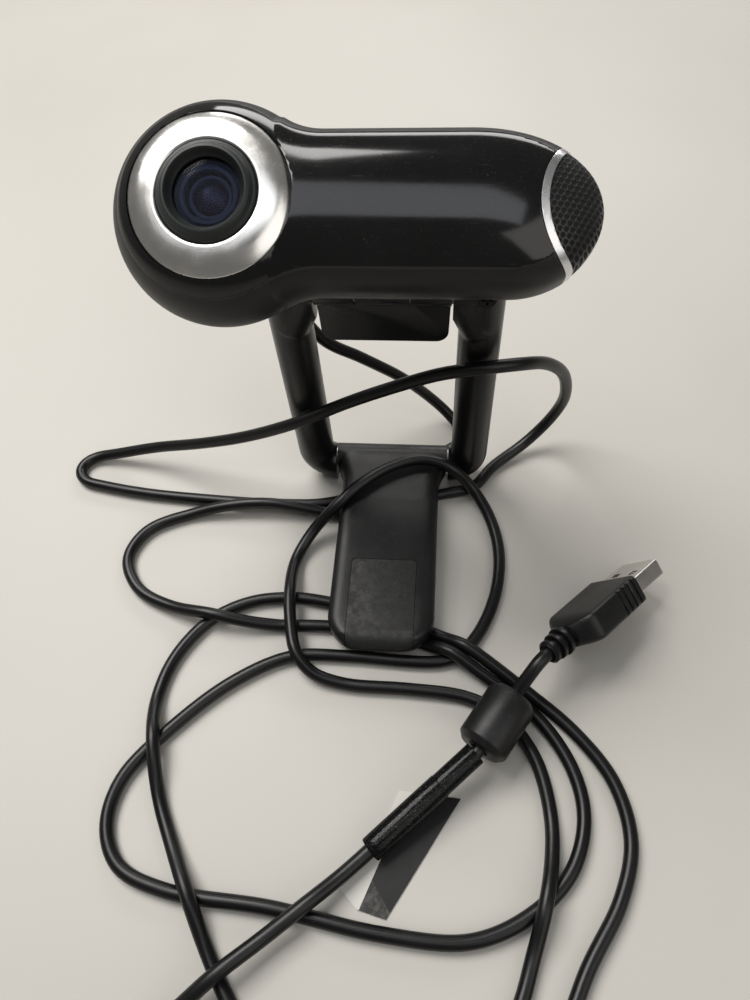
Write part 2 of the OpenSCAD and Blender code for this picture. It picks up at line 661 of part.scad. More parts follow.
module tilt_knuckle() {
  w = head_knuckle_w;
  color([0.04, 0.04, 0.04]) difference() {
    union() {
      at_hinge() rod_x(knuckle_r, -w / 2, w / 2);
      in_head() translate([-lens_x - w / 2 + 0.5, 0, 0]) along_x(w - 1) polygon(concat(
        [for (k = [0:6]) let (z = -hinge_drop - 5 + 10 * k / 6) [bar_back_at(z) + fit, z]],
        [[hinge_back + 2.2, -hinge_drop + 3.5], [hinge_back + 2.2, -hinge_drop - 3.5]]));
    }
    at_hinge() rod_x(axle_r + run_gap, -w, w);
  }
}

// ---- legs ----

leg_rise = (hinge_z - leg_z) / cos(leg_lean) - bend_r;
axle_half = leg_gap / 2 + 2.9;
lock_x = leg_gap / 2 + 0.7;         // lock screw, from the middle of the stand
pin_out = leg_in + 4;
pin_in = foot_knuckle_w / 2 - 7;
leg_top_r = leg_r + 0.1;            // radius of a leg's rounded top
shoulder_z = 12;                    // how far below the hinge a leg's shoulder starts

module leg(side) {
  mirror([side < 0 ? 1 : 0, 0, 0]) difference() {
    union() {
      translate([0, 0, leg_z]) rotate([leg_lean, 0, 0]) {
        translate([leg_gap / 2, 0, bend_r]) cylinder(r = leg_r, h = leg_rise);
        translate([leg_gap / 2 - bend_r, 0, bend_r]) rotate([90, 0, 0]) rotate([0, 0, -90])
          rotate_extrude(angle = 90) translate([bend_r, 0]) circle(leg_r);
      }
      translate([0, hinge_y, hinge_z]) {
        turned_x(concat([[0, leg_knuckle_in], [leg_top_r, leg_knuckle_in]],
          arc([0, leg_gap / 2], leg_top_r, 0, 90, 12)));
        translate([leg_gap / 2, 0, -shoulder_z]) rotate([0, -25, 0])
          cylinder(r = leg_r - 0.15, h = shoulder_z + 1);
      }
    }
    translate([-50 + leg_in, -20, -10]) cube([50, 40, 30]);
    translate([-50 + leg_knuckle_in, hinge_y - 20, hinge_z - 20]) cube([50, 40, 40]);
    translate([0, -20, -20]) cube([50, 40, 20]);
    translate([0, hinge_y, hinge_z]) rod_x(axle_r + fit, 0, axle_half + 0.1);
    translate([0, 0, foot_hinge_z]) rod_x(foot_pin_r + fit, 0, pin_out + 0.1);
    translate([lock_x, hinge_y, hinge_z - 0.4]) rotate([90, 0, 0]) {
      cylinder(r = lock_screw_r + fit, h = 10);
      translate([0, 0, leg_r - 1]) cylinder(r = 2 * lock_screw_r + 0.1, h = 10);
    }
  }
}

module leg_left() { color([0.04, 0.04, 0.042]) placed() leg(-1); }
module leg_right() { color([0.04, 0.04, 0.042]) placed() leg(1); }
module axle() { color([0.6, 0.6, 0.62]) at_hinge() rod_x(axle_r, -axle_half, axle_half); }

module leg_screws() {
  slot = 0.45;
  color([0.1, 0.1, 0.1]) at_hinge() both_sides() translate([lock_x, 0, -0.4]) rotate([90, 0, 0])
    difference() {
      union() {
        translate([0, 0, axle_r + 0.1]) cylinder(r = lock_screw_r, h = leg_r - axle_r - 0.4);
        translate([0, 0, leg_r - 1]) cylinder(r = 2 * lock_screw_r, h = 0.9);
      }
      translate([-1.3, -slot / 2, leg_r - 0.6]) cube([2.6, slot, 3]);
      translate([-slot / 2, -1.3, leg_r - 0.6]) cube([slot, 2.6, 3]);
    }
}

module friction_washers() {
  gap = 0.05;
  color([0.5, 0.5, 0.5]) at_hinge() both_sides() {
    for (x = [head_knuckle_w / 2, lip_w / 2])
      tube_x(knuckle_r - 0.5, axle_r + fit, x + gap, x + washer_t - gap);
  }
}

// ---- front lip ----

lip_in = head_knuckle_w / 2 + washer_t;
lip_taper = 0.4;                    // how much narrower the lip's lower edge is, each side

module lip_bracket() {
  r = 3;
  half = lip_w / 2;
  color([0.04, 0.04, 0.042]) at_hinge() difference() {
    union() {
      rod_x(knuckle_r, -half, half);
      translate([0, lip_t / 2, 0]) rotate([90, 0, 0]) linear_extrude(lip_t) polygon(concat(
        [[half, 0]], arc([half - lip_taper - r, -lip_drop + r], r, 0, -90),
        arc([-half + lip_taper + r, -lip_drop + r], r, -90, -180), [[-half, 0]]));
    }
    rod_x(knuckle_r + 0.4, -lip_in, lip_in);
    rod_x(axle_r + run_gap, -half - 1, half + 1);
  }
}

module lip_liner() {
  color([0.06, 0.06, 0.06]) at_hinge() translate([-lip_w / 2 + 3, lip_t / 2, -lip_drop + 1.2])
    cube([lip_w - 6, liner_t, lip_drop - knuckle_r - 2.2]);
}

// ---- foot, drawn from its hinge line on the surface ----

nose_low = 1.5;
nose_high = 3;
foot_edge = 2.4;                    // height of the foot's upright side

function foot_plan(i) = let (h = foot_w / 2, r = foot_corner_r, e = -foot_len + i)
  concat([[h, 1]], arc([h - r, e + r], r, 0, -90, 12), arc([-h + r, e + r], r, -90, -180, 12), [[-h, 1]]);
function foot_side(i) = let (e = -foot_len + i, top = tip_top - i, low = foot_clear)
  concat([[0, low]], arc([e + nose_low, low + nose_low], nose_low, -90, -180, 4),
    arc([e + nose_high, top - nose_high], nose_high, 180, 90, 8), [[-16, top], [-2, heel_top - i]]);
function foot_section() = let (h = foot_w / 2, low = foot_clear, t = foot_top_w / 2)
  [[-h + 0.8, low - 1], [h - 0.8, low - 1], [h - 0.8, low], [h, low + 0.8], [h, low + foot_edge],
   [h - 1, tip_top - 1.3], [h - 2.6, tip_top - 0.3], [t, tip_top + 0.1], [t - 1.4, 30], [-t + 1.4, 30],
   [-t, tip_top + 0.1], [-h + 2.6, tip_top - 0.3], [-h + 1, tip_top - 1.3], [-h, low + foot_edge],
   [-h, low + 0.8], [-h + 0.8, low]];

module foot_form(i) {
  intersection() {
    linear_extrude(30) polygon(foot_plan(i));
    translate([-20, 0, 0]) along_x(40) polygon(foot_side(i));
    translate([0, 10, 0]) rotate([90, 0, 0]) linear_extrude(80) polygon(foot_section());
  }
}

module pad_zone(gap) {
  half = pad_w / 2 + gap;
  translate([-half, -foot_len - 5, foot_clear + 1]) cube([2 * half, pad_len + 5 + gap, 20]);
}

module foot_paddle() {
  color([0.05, 0.05, 0.052]) placed() difference() {
    union() {
      foot_form(0);
      translate([0, 0, foot_hinge_z]) rod_x(foot_knuckle_r, -foot_knuckle_w / 2, foot_knuckle_w / 2);
    }
    difference() {
      pad_zone(fit);
      foot_form(pad_t);
    }
    translate([0, 0, foot_hinge_z]) both_sides() rod_x(foot_pin_r + run_gap, pin_in - 0.1, 30);
  }
}

module foot_pad() {
  color([0.09, 0.09, 0.09]) placed() difference() {
    intersection() {
      foot_form(0);
      pad_zone(0);
    }
    foot_form(pad_t);
  }
}

module foot_hinge_pins() {
  color([0.6, 0.6, 0.62]) at_foot_hinge() both_sides() rod_x(foot_pin_r, pin_in, pin_out);
}

module foot_washers() {
  gap = 0.05;
  color([0.5, 0.5, 0.5]) at_foot_hinge() both_sides()
    tube_x(foot_knuckle_r - 1, foot_pin_r + fit, foot_knuckle_w / 2 + gap, leg_in - gap);
}

// ---- lead ----

function along(at, turn, rise, d) = at + d * [cos(rise) * cos(turn), cos(rise) * sin(turn), sin(rise)];
gland_tip = from_head([gland_x, bar_back + gland_len + 0.1, gland_z]);
gland_out = from_head([gland_x, bar_back + gland_len + 2.5, gland_z]);
sleeve_start = along(bead_at, sleeve_turn, sleeve_rise, -sleeve_len);
bead_end = along(bead_at, bead_turn, bead_rise, bead_len);
plug_in = along(plug_at, plug_turn, -plug_pitch, -plug_lead_in);

module cord_drop() { color([0.03, 0.03, 0.03]) placed() lead(concat([gland_tip, gland_out], drop_points)); }
module cord_behind() { color([0.03, 0.03, 0.03]) placed() lead(behind_points); }
module cord_around() { color([0.03, 0.03, 0.03]) placed() lead(around_points); }
module cord_over() { color([0.03, 0.03, 0.03]) placed() lead(over_points); }
module cord_end() {
  color([0.03, 0.03, 0.03]) placed() lead(concat(end_points,
    [sleeve_start, bead_at, bead_end, (bead_end + plug_in) / 2 + [0, 0, 0.4], plug_in, plug_at]));
}

module ferrite_case() {
  r = bead_d / 2;
  c = 1.4;
  color([0.05, 0.05, 0.05]) in_bead() difference() {
    turned_x([[bead_hole_r, 0], [r - c, 0], [r, c], [r, bead_len - c], [r - c, bead_len],
      [bead_hole_r, bead_len]]);
    rod_x(r - bead_wall, 2, bead_len - 2);
  }
}

module ferrite_core() {
  color([0.2, 0.2, 0.2]) in_bead() tube_x(bead_d / 2 - bead_wall - 0.05, core_bore_r, 2.1, bead_len - 2.1);
}

module cord_sleeve() {
  color([0.12, 0.12, 0.12]) in_sleeve() tube_x(sleeve_d / 2, sleeve_bore_r, -sleeve_len, -1.1);
}

module cord_label() {
  color([0.8, 0.8, 0.78]) placed() linear_extrude(label_t) polygon(label_outline);
}

module plug_strain_relief() {
  n = 3;
  ring = (relief_len - 0.6) / (2 * n);
  color([0.04, 0.04, 0.04]) in_plug() turned_x(concat([[0, 0.1], [cord_r + 0.9, 0.1]],
    [for (k = [0:n - 1]) let (x = 0.5 + 2 * k * ring, r = cord_r + 1.3 + 0.35 * k)
      each [[r, x], [r, x + ring], [r - 0.7, x + ring], [r - 0.7, x + 2 * ring]]],
    [[cord_r + 1.2, relief_len], [0, relief_len]]));
}

module plug_overmould() {
  x0 = relief_len;
  x1 = relief_len + grip_len;
  w = grip_w / 2;
  h = grip_h / 2;
  c = 1.3;
  color([0.04, 0.04, 0.04]) in_plug() difference() {
    intersection() {
      translate([0, 0, -10]) linear_extrude(20) polygon([[x0, -4], [x0 + 5.5, -w], [x1, -w], [x1, w],
        [x0 + 5.5, w], [x0, 4]]);
      rotate([90, 0, 0]) translate([0, 0, -10]) linear_extrude(20) polygon([[x0, -h + 0.9], [x0 + 4, -h],
        [x1, -h], [x1, h], [x0 + 4, h], [x0, h - 0.9]]);
      along_x(x1) polygon([[-w, -h + c], [-w + c, -h], [w - c, -h], [w, -h + c], [w, h - c], [w - c, h],
        [-w + c, h], [-w, h - c]]);
    }
    translate([x1 - shell_hold, -usb_w / 2, -usb_h / 2]) cube([shell_hold + 1, usb_w, usb_h]);
    for (k = [0:3], s = [-1, 1])
      translate([x1 - 2.2 - 2 * k, s * w - 0.5, -10]) cube([0.8, 1, 20]);
  }
}

shell_x0 = relief_len + grip_len - shell_hold;
shell_x1 = relief_len + grip_len + usb_len;

module plug_shell() {
  color([0.7, 0.7, 0.7]) in_plug() difference() {
    translate([shell_x0, -usb_w / 2, -usb_h / 2]) cube([shell_x1 - shell_x0, usb_w, usb_h]);
    translate([shell_x0 + shell_t, -usb_w / 2 + shell_t, -usb_h / 2 + shell_t])
      cube([shell_x1 - shell_x0, usb_w - 2 * shell_t, usb_h - 2 * shell_t]);
    for (s = [-1, 1]) translate([shell_x1 - 7.6, s * 2.9 - 1.1, -10]) cube([2, 2.2, 20]);
  }
}

tongue_t = 1.9;

module plug_tongue() {
  color([0.85, 0.85, 0.83]) in_plug() translate([shell_x0 + shell_t, -usb_w / 2 + shell_t, -usb_h / 2 + shell_t])
    cube([shell_x1 - shell_x0 - shell_t - 0.6, usb_w - 2 * shell_t, tongue_t]);
}

module plug_contacts() {
  top = -usb_h / 2 + shell_t + tongue_t;
  color([0.8, 0.65, 0.3]) in_plug() for (y = [-3.5, -1, 1, 3.5])
    translate([shell_x0 + 2, y - 0.5, top]) cube([shell_x1 - shell_x0 - (abs(y) > 2 ? 3.2 : 4.2), 1, 0.2]);
}

front_cover();
rear_housing();
lens_ring();
lens_bezel();
lens_window();
window_retainer();
lens_barrel();
front_lens();
autofocus_coil();
ir_filter();
image_sensor();
camera_board();
main_board();
board_chips();
flex_cable();
inner_lead();
board_screws();
housing_screws();
microphone();
microphone_grommet();
grille_trim();
mic_grille();
cord_gland();
tilt_knuckle();
leg_left();
leg_right();
axle();
leg_screws();
friction_washers();
lip_bracket();
lip_liner();
foot_paddle();
foot_pad();
foot_hinge_pins();
foot_washers();
cord_drop();
cord_behind();
cord_around();
cord_over();
cord_end();
ferrite_case();
ferrite_core();
cord_sleeve();
cord_label();
plug_overmould();
plug_strain_relief();
plug_shell();
plug_tongue();
plug_contacts();
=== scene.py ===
"""Looks of the webcam on its clip stand. Lengths are in millimetres until a mesh is made."""

import json
from math import copysign, cos, pi, radians, sin, sqrt

import bmesh
import bpy
import numpy as np
from mathutils import Matrix, Vector


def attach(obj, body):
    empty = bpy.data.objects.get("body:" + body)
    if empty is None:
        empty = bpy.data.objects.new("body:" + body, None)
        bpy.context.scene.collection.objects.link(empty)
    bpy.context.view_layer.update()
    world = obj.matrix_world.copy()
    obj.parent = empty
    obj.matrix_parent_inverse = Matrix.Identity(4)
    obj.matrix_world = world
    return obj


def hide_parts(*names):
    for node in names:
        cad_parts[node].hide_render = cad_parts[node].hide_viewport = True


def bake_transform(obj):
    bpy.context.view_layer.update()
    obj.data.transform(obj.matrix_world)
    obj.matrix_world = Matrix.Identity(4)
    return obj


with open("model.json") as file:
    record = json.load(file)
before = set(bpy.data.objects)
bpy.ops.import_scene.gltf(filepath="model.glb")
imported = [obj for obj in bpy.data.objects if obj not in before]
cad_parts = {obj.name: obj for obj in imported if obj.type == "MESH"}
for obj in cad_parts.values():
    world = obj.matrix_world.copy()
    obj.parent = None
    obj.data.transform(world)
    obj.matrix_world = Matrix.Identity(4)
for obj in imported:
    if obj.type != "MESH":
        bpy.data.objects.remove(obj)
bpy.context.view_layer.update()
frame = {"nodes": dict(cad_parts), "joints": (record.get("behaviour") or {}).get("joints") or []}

# ---------- sizes ----------

MM = 0.001
GAP = 0.1

# Lens axis from the head's hinge, and the head's lean
LENS_X, HINGE_BACK, HINGE_DROP, HEAD_PITCH = -31.1, 16.8, 7.8, -56

# Bar of the head: section, far end, and how long each side takes to close there
BAR_H, BAR_FRONT, BAR_BACK = 31.6, 13.0, 10.4
BAR_START, BAR_REACH = -1.0, 75.2
END_TOP, END_BOTTOM, END_FRONT, END_BACK = 26.5, 18.5, 24.0, 16.0
SECTION_POWER, END_POWER_RISE = 2.5, 0.9
BAR_MID, WIDEST_FORWARD = (BAR_FRONT - BAR_BACK) / 2, 0.7

# Round lens end, and the fillet that leads the bar into it
DRUM_R, DRUM_BULGE, DRUM_MID = 22.2, 15.3, 1.5
NECK_X, NECK_R, NECK_REACH = 20.55, 14.0, 7.95

# Cover, housing and what sits in them; distances run forwards along the lens axis
WALL, SEAM, COVER_FRONT, SHELF = 1.6, 9.6, 12.3, 8.5
RING_R, RING_BORE_R, MOUTH_R, WINDOW_R = 15.9, 9.75, 7.6, 6.8
GRILLE_X, TRIM_R, TRIM_W = 77.9, 16.0, 1.5
SCREWS = [(-12.1, 0), (22.5, 7), (22.5, -7)]
SCREW_HOLE_R, SCREW_SEAT = 1.5, -7.9
GLAND_X, GLAND_Z, GLAND_LEN, GLAND_HOLE_R = -1, 3.5, 11, 2.65

# Legs: tube, lean, distance apart, bend at the bottom, flats inside, and the knob and brace at the top
LEG_R, LEG_LEAN, LEG_GAP, BEND_R, LEG_Z = 5.2, 2.6, 45.0, 6.8, 5.0
LEG_IN, LEG_TOP_IN, KNOB_R, BRACE_R = 16.6, 15.9, 5.3, 5.05
LEG_SCREW_R, LEG_SCREW_HEAD_R = 1.1, 2.1
AXLE_HOLE_R, AXLE_HALF = 1.55, 25.5
PIN_Z, PIN_HOLE_R, PIN_IN, PIN_OUT = 7.6, 1.35, 9.2, 20.7

# Lip, measured from the head's hinge
LIP_W, LIP_DROP, LIP_T, LIP_CORNER = 31.0, 16.4, 2.4, 3.0
LIP_BARREL_R, KNUCKLE_ROOM_R, KNUCKLE_ROOM_HALF = 5.0, 5.4, 6.4
LINER_T, LINER_EDGE, LINER_TOP = 0.8, 3, -6

# Foot: its length runs from its hinge to its nose, and its heights are above the desk
FOOT_LEN, FOOT_W, FOOT_TOP_W, FOOT_R, FOOT_FLARE = 61.0, 28.0, 19.0, 9.0, 2.2
FOOT_LOW, TIP_TOP, HEEL_TOP = 3.7, 9.3, 11.2
FOOT_BARREL_R, FOOT_BARREL_HALF = 3.7, 16.2
PAD_W, PAD_BACK, PAD_CORNER, PAD_ROOM = 17.4, -36.5, 1.2, 0.12

# Lead, bead, sleeve and plug
CORD_R = 1.65
BEAD_R, BEAD_LEN, SLEEVE_R, SLEEVE_LEN = 6.2, 15.5, 2.9, 33
RELIEF, GRIP, SHELL_OUT, SHELL_IN = 7.5, 22.0, 11.8, 7.0
GRIP_W, GRIP_T, PLUG_W, PLUG_T, PLUG_WALL = 16, 7.4, 12, 4.5, 0.3
PLUG_AT, BEAD_AT = Vector((41.2, -64, 15.2)), Vector((25.2, -85.8, 8.8))

# A turned profile starts and ends this close to its axis, and a cutter reaches this far
AXIS, FAR = 0.01, 60

# ---------- frames ----------


def shift(x=0.0, y=0.0, z=0.0):
    return Matrix.Translation((x, y, z))


def spin(degrees, axis):
    return Matrix.Rotation(radians(degrees), 4, axis)


joints = {joint["name"]: joint for joint in frame["joints"]}
HEAD_HINGE = Vector(joints["head_tilt"]["pos_m"])
FOOT_HINGE = Vector(joints["foot_swing"]["pos_m"])
HINGE_Z = HEAD_HINGE.z / MM
# The stand's frame, with its origin on the desk below the foot's hinge
ROW = Matrix.Translation((FOOT_HINGE.x, FOOT_HINGE.y, 0)) @ Matrix.Scale(MM, 4)
AT_HINGE = Matrix.Translation(HEAD_HINGE) @ Matrix.Scale(MM, 4)
AT_PINS = ROW @ shift(0, 0, PIN_Z)
# The head's frame: the bar runs along X, and the lens looks along -Y
HEAD = (
    Matrix.Translation(HEAD_HINGE)
    @ spin(HEAD_PITCH, "X")
    @ Matrix.Scale(MM, 4)
    @ shift(LENS_X, -HINGE_BACK, HINGE_DROP)
)
AT_GRILLE = HEAD @ shift(GRILLE_X)
AT_GLAND = HEAD @ shift(GLAND_X, 0, GLAND_Z)


def turned_frame(at, roll, pitch, turn):
    """A frame placed like OpenSCAD's rotate([roll, pitch, turn])."""
    return ROW @ Matrix.Translation(at) @ spin(turn, "Z") @ spin(pitch, "Y") @ spin(roll, "X")


PLUG = turned_frame(PLUG_AT, -56, 12.5, 46.5)
BEAD = turned_frame(BEAD_AT, 0, -4, 57)
SLEEVE = turned_frame(BEAD_AT, 0, -9.4, 42.7)


def in_row(place, x, y=0.0, z=0.0):
    """A point of another frame, as the stand's frame has it."""
    return tuple(ROW.inverted() @ (place @ Vector((x, y, z))))


# ---------- materials ----------


class Nodes:
    """Short-hand for building one procedural material."""

    def __init__(self, name):
        self.material = bpy.data.materials.new(name)
        self.material.use_nodes = True
        self.tree = self.material.node_tree
        self.bsdf = self.tree.nodes["Principled BSDF"]
        self.place = self.add("ShaderNodeTexCoord").outputs["Object"]

    def add(self, kind, **inputs):
        node = self.tree.nodes.new(kind)
        for key, value in inputs.items():
            self.put(node.inputs[key.replace("_", " ")], value)
        return node

    def put(self, socket, value):
        if isinstance(value, bpy.types.NodeSocket):
            self.tree.links.new(value, socket)
        elif isinstance(value, tuple) and len(value) == 3 and socket.type == "RGBA":
            socket.default_value = (*value, 1)
        else:
            socket.default_value = value

    def set(self, **inputs):
        for key, value in inputs.items():
            self.put(self.bsdf.inputs[key.replace("_", " ")], value)

    def math(self, operation, *values):
        node = self.tree.nodes.new("ShaderNodeMath")
        node.operation = operation
        for i, value in enumerate(values):
            self.put(node.inputs[i], value)
        return node.outputs[0]

    def times(self, a, b):
        return self.math("MULTIPLY", a, b)

    def plus(self, a, b):
        return self.math("ADD", a, b)

    def reach(self, a, b):
        """Distance from the origin to the point (a, b)."""
        return self.math("SQRT", self.plus(self.times(a, a), self.times(b, b)))

    def noise(self, scale, detail=3.0, roughness=0.5, vector=None, distortion=0.0):
        look = {"Scale": scale, "Detail": detail, "Roughness": roughness, "Distortion": distortion}
        return self.add("ShaderNodeTexNoise", Vector=vector or self.place, **look).outputs["Fac"]

    def stretch(self, scale):
        return self.add("ShaderNodeMapping", Scale=scale, Vector=self.place).outputs[0]

    def surface(self, output):
        return self.add("ShaderNodeNewGeometry").outputs[output]

    def parts(self, vector):
        """The x, y and z of a vector."""
        return self.add("ShaderNodeSeparateXYZ", Vector=vector).outputs[0:3]

    def parts_in(self, place):
        """The x, y and z of the shaded point in a frame's own axes, in metres."""
        turn = {"Location": place.to_translation(), "Rotation": place.to_euler()}
        local = self.add("ShaderNodeMapping", Vector=self.place, **turn)
        local.vector_type = "TEXTURE"
        return self.parts(local.outputs[0])

    def ramp(self, value, low, high, a=0.0, b=1.0):
        node = self.add("ShaderNodeMapRange")
        for i, v in enumerate((value, low, high, a, b)):
            self.put(node.inputs[i], v)
        return node.outputs[0]

    def mix(self, factor, a, b):
        node = self.tree.nodes.new("ShaderNodeMix")
        node.data_type = "RGBA"
        self.put(node.inputs[0], factor)
        self.put(node.inputs[6], a)
        self.put(node.inputs[7], b)
        return node.outputs[2]

    def bump(self, height, strength, distance, normal=None):
        node = self.add("ShaderNodeBump", Strength=strength, Distance=distance, Height=height)
        if normal:
            self.put(node.inputs["Normal"], normal)
        return node.outputs[0]


def plastic(name, colour, rough, grain=0.0, grain_scale=2500, dust=0.0, scratches=0.0, wear=0.0, ior=1.5):
    """Moulded plastic or rubber: uneven gloss, fine grain, hairline scratches, dust and rubbed edges."""
    m = Nodes(name)
    cloudy = m.noise(90, 4, 0.6)
    darker, lighter = (tuple(c * share for c in colour) for share in (0.85, 1.25))
    tint = m.mix(m.ramp(cloudy, 0.3, 0.7), darker, lighter)
    gloss = m.ramp(cloudy, 0.25, 0.75, rough * 0.85, rough * 1.2)
    if scratches:
        streaks = m.noise(1.0, 2, 0.5, m.stretch((260, 4200, 2600)), 0.4)
        lines = m.times(m.ramp(streaks, 0.66, 0.74), scratches)
        gloss = m.plus(gloss, m.times(lines, 0.35))
        tint = m.mix(m.times(lines, 0.12), tint, (0.35, 0.35, 0.35))
    if dust:
        specks = m.times(m.ramp(m.noise(5200, 1, 0.4), 0.72, 0.78), m.ramp(m.noise(320, 3), 0.42, 0.62))
        facing_up = m.ramp(m.parts(m.surface("Normal"))[2], 0.0, 0.9)
        amount = m.times(m.times(specks, facing_up), dust)
        tint = m.mix(amount, tint, (0.42, 0.41, 0.39))
        gloss = m.plus(gloss, m.times(amount, 0.4))
    if wear:
        edge = m.ramp(m.surface("Pointiness"), 0.53, 0.6)
        rubbed = m.times(edge, m.ramp(m.noise(700, 4), 0.4, 0.6))
        tint = m.mix(m.times(rubbed, wear), tint, tuple(c + 0.06 for c in colour))
    m.set(Base_Color=tint, Roughness=gloss, IOR=ior)
    if grain:
        fine = m.noise(grain_scale, 2, 0.6)
        m.set(Normal=m.bump(fine, grain, 0.00008, m.bump(cloudy, grain * 0.3, 0.0002)))
    return m.material


def metal(name, colour, rough, streak=(40, 3000, 3000), bump=0.1, turned=None):
    """Metal with brushed marks, or with marks turned about the Y axis of the frame in turned."""
    m = Nodes(name)
    if turned:
        x, y, z = m.parts_in(turned)
        rings = m.add("ShaderNodeCombineXYZ", X=m.reach(x, z), Y=y, Z=m.times(x, 0.02))
        marks = m.noise(9000, 2, 0.6, rings.outputs[0])
    else:
        marks = m.noise(1.0, 3, 0.6, m.stretch(streak))
    smudge = m.noise(220, 4, 0.6)
    m.set(
        Base_Color=m.mix(m.ramp(smudge, 0.3, 0.7), tuple(c * 0.92 for c in colour), colour),
        Metallic=1.0,
        Roughness=m.plus(m.ramp(smudge, 0.3, 0.75, rough, rough * 1.5), m.times(marks, rough * 0.4)),
        Normal=m.bump(marks, bump, 0.00003),
    )
    return m.material


def see_through(name, tint, amount, rough=0.04, speckle=0.0):
    """Clear glass or film: a glossy coat over a tinted see-through body, with no bending of light."""
    m = Nodes(name)
    m.set(Base_Color=(0.01, 0.01, 0.015), Roughness=rough, IOR=1.5)
    clear = m.add("ShaderNodeBsdfTransparent", Color=tint)
    fresnel = m.add("ShaderNodeFresnel", IOR=1.5)
    solid = m.plus(fresnel.outputs[0], 1.0 - amount)
    if speckle:
        dots = m.ramp(m.noise(3800, 2, 0.5), 0.6, 0.7)
        m.set(
            Base_Color=m.mix(dots, (0.012, 0.012, 0.012), (0.16, 0.16, 0.16)),
            Normal=m.bump(m.noise(900, 3), 0.3, 0.0001),
        )
        solid = m.plus(solid, m.times(dots, speckle))
    blend = m.add("ShaderNodeMixShader")
    m.put(blend.inputs[0], m.math("MINIMUM", solid, 1.0))
    m.put(blend.inputs[1], clear.outputs[0])
    m.put(blend.inputs[2], m.bsdf.outputs[0])
    m.put(m.tree.nodes["Material Output"].inputs[0], blend.outputs[0])
    return m.material


def grille_finish():
    """Black mesh: a hexagonal net of painted holes, 1.25 mm apart, laid out in the head's own frame; the
    holes are near-black painted shade, not openings.
    """
    m = Nodes("grille_mesh")
    x, _, z = m.parts_in(HEAD)
    pitch, row = 1.25 * MM, sqrt(3)
    distances = []
    for offset in (0.0, 0.5):
        across = m.math("SUBTRACT", m.math("FRACT", m.plus(m.math("DIVIDE", x, pitch), offset)), 0.5)
        along = m.math("SUBTRACT", m.math("FRACT", m.plus(m.math("DIVIDE", z, pitch * row), offset)), 0.5)
        distances.append(m.reach(across, m.times(along, row)))
    wire = m.ramp(m.math("MINIMUM", *distances), 0.3, 0.42)
    m.set(
        # Painted shade: the holes are near-black dots that stand in for the dark openings; the wire keeps the
        # mesh's own black.
        Base_Color=m.mix(wire, (0.001, 0.001, 0.001), (0.035, 0.035, 0.036)),
        Roughness=m.ramp(wire, 0, 1, 0.9, 0.35),
        Metallic=m.times(wire, 0.5),
        Normal=m.bump(wire, 1.0, 0.0004),
    )
    return m.material


def ringed_finish():
    """Parts round the lens: pale up to a radius of 5.5 mm, blue-black outside it."""
    m = Nodes("ringed_grey")
    x, _, z = m.parts_in(HEAD)
    pale = m.math("SUBTRACT", 1.0, m.ramp(m.reach(x, z), 5.5 * MM, 5.7 * MM))
    m.set(Base_Color=m.mix(pale, (0.004, 0.005, 0.012), (0.13, 0.15, 0.18)), Roughness=0.45, IOR=1.4)
    return m.material


def lens_finish():
    """Coated front lens with a painted reflection: a warm tint painted in where it is seen straight on,
    blue-black towards the rim.
    """
    m = Nodes("front_lens_painted_reflection")
    facing = m.add("ShaderNodeLayerWeight", Blend=0.35).outputs["Facing"]
    m.set(
        # Painted reflection: the warm tint where the lens faces the camera stands in for the coloured
        # reflection of its coatings.
        Base_Color=m.mix(m.ramp(facing, 0.05, 0.7), (0.045, 0.02, 0.028), (0.006, 0.008, 0.02)),
        Roughness=0.28,
        Coat_Weight=0.25,
        Coat_Tint=(0.6, 0.5, 1.0),
        Coat_Roughness=0.1,
        Specular_IOR_Level=0.4,
    )
    return m.material


def pad_finish():
    """Rubber pad with light specks."""
    m = Nodes("pad_speckled")
    specks = m.times(m.ramp(m.noise(3600, 2, 0.6), 0.56, 0.7), 0.4)
    m.set(
        Base_Color=m.mix(specks, (0.009, 0.009, 0.009), (0.07, 0.07, 0.067)),
        Roughness=m.ramp(m.noise(600, 3), 0.3, 0.7, 0.5, 0.75),
        Normal=m.bump(m.noise(3200, 3), 0.6, 0.0001),
    )
    return m.material


def paper_finish():
    """Bare label: black, worn at its lower tip, and white where it shows left of the sleeve."""
    m = Nodes("label_paper")
    x, y, _ = m.parts(m.place)
    origin = ROW.to_translation()

    def left_of(px, py, dx, dy):
        """1 on the left of a line through (px, py) that runs along (dx, dy), and 0 on its right."""
        across = m.math("SUBTRACT", m.times(y, dx), m.times(x, dy))
        line = (py * MM + origin.y) * dx - (px * MM + origin.x) * dy
        return m.ramp(across, line - 0.05 * MM, line + 0.05 * MM)

    white = m.math("MAXIMUM", left_of(1.3, -115, 2.5, 6.3), left_of(1.3, -107.9, 0.735, 0.678))
    worn = m.times(left_of(4.9, -117.7, -3.8, 5.4), m.ramp(m.noise(900, 4), 0.4, 0.62, 0.2, 1.0))
    dark = m.mix(worn, (0.011, 0.011, 0.011), (0.07, 0.067, 0.062))
    m.set(
        Base_Color=m.mix(white, dark, (0.6, 0.59, 0.55)),
        Roughness=0.42,
        IOR=1.35,
        Normal=m.bump(m.noise(120, 2), 0.3, 0.0004),
    )
    return m.material


def desk_finish():
    """Pale matt desk with a faint unevenness."""
    m = Nodes("floor_pale")
    uneven = m.ramp(m.noise(6, 4), 0.3, 0.7)
    m.set(Base_Color=m.mix(uneven, (0.475, 0.459, 0.421), (0.515, 0.499, 0.461)), Roughness=0.55)
    return m.material


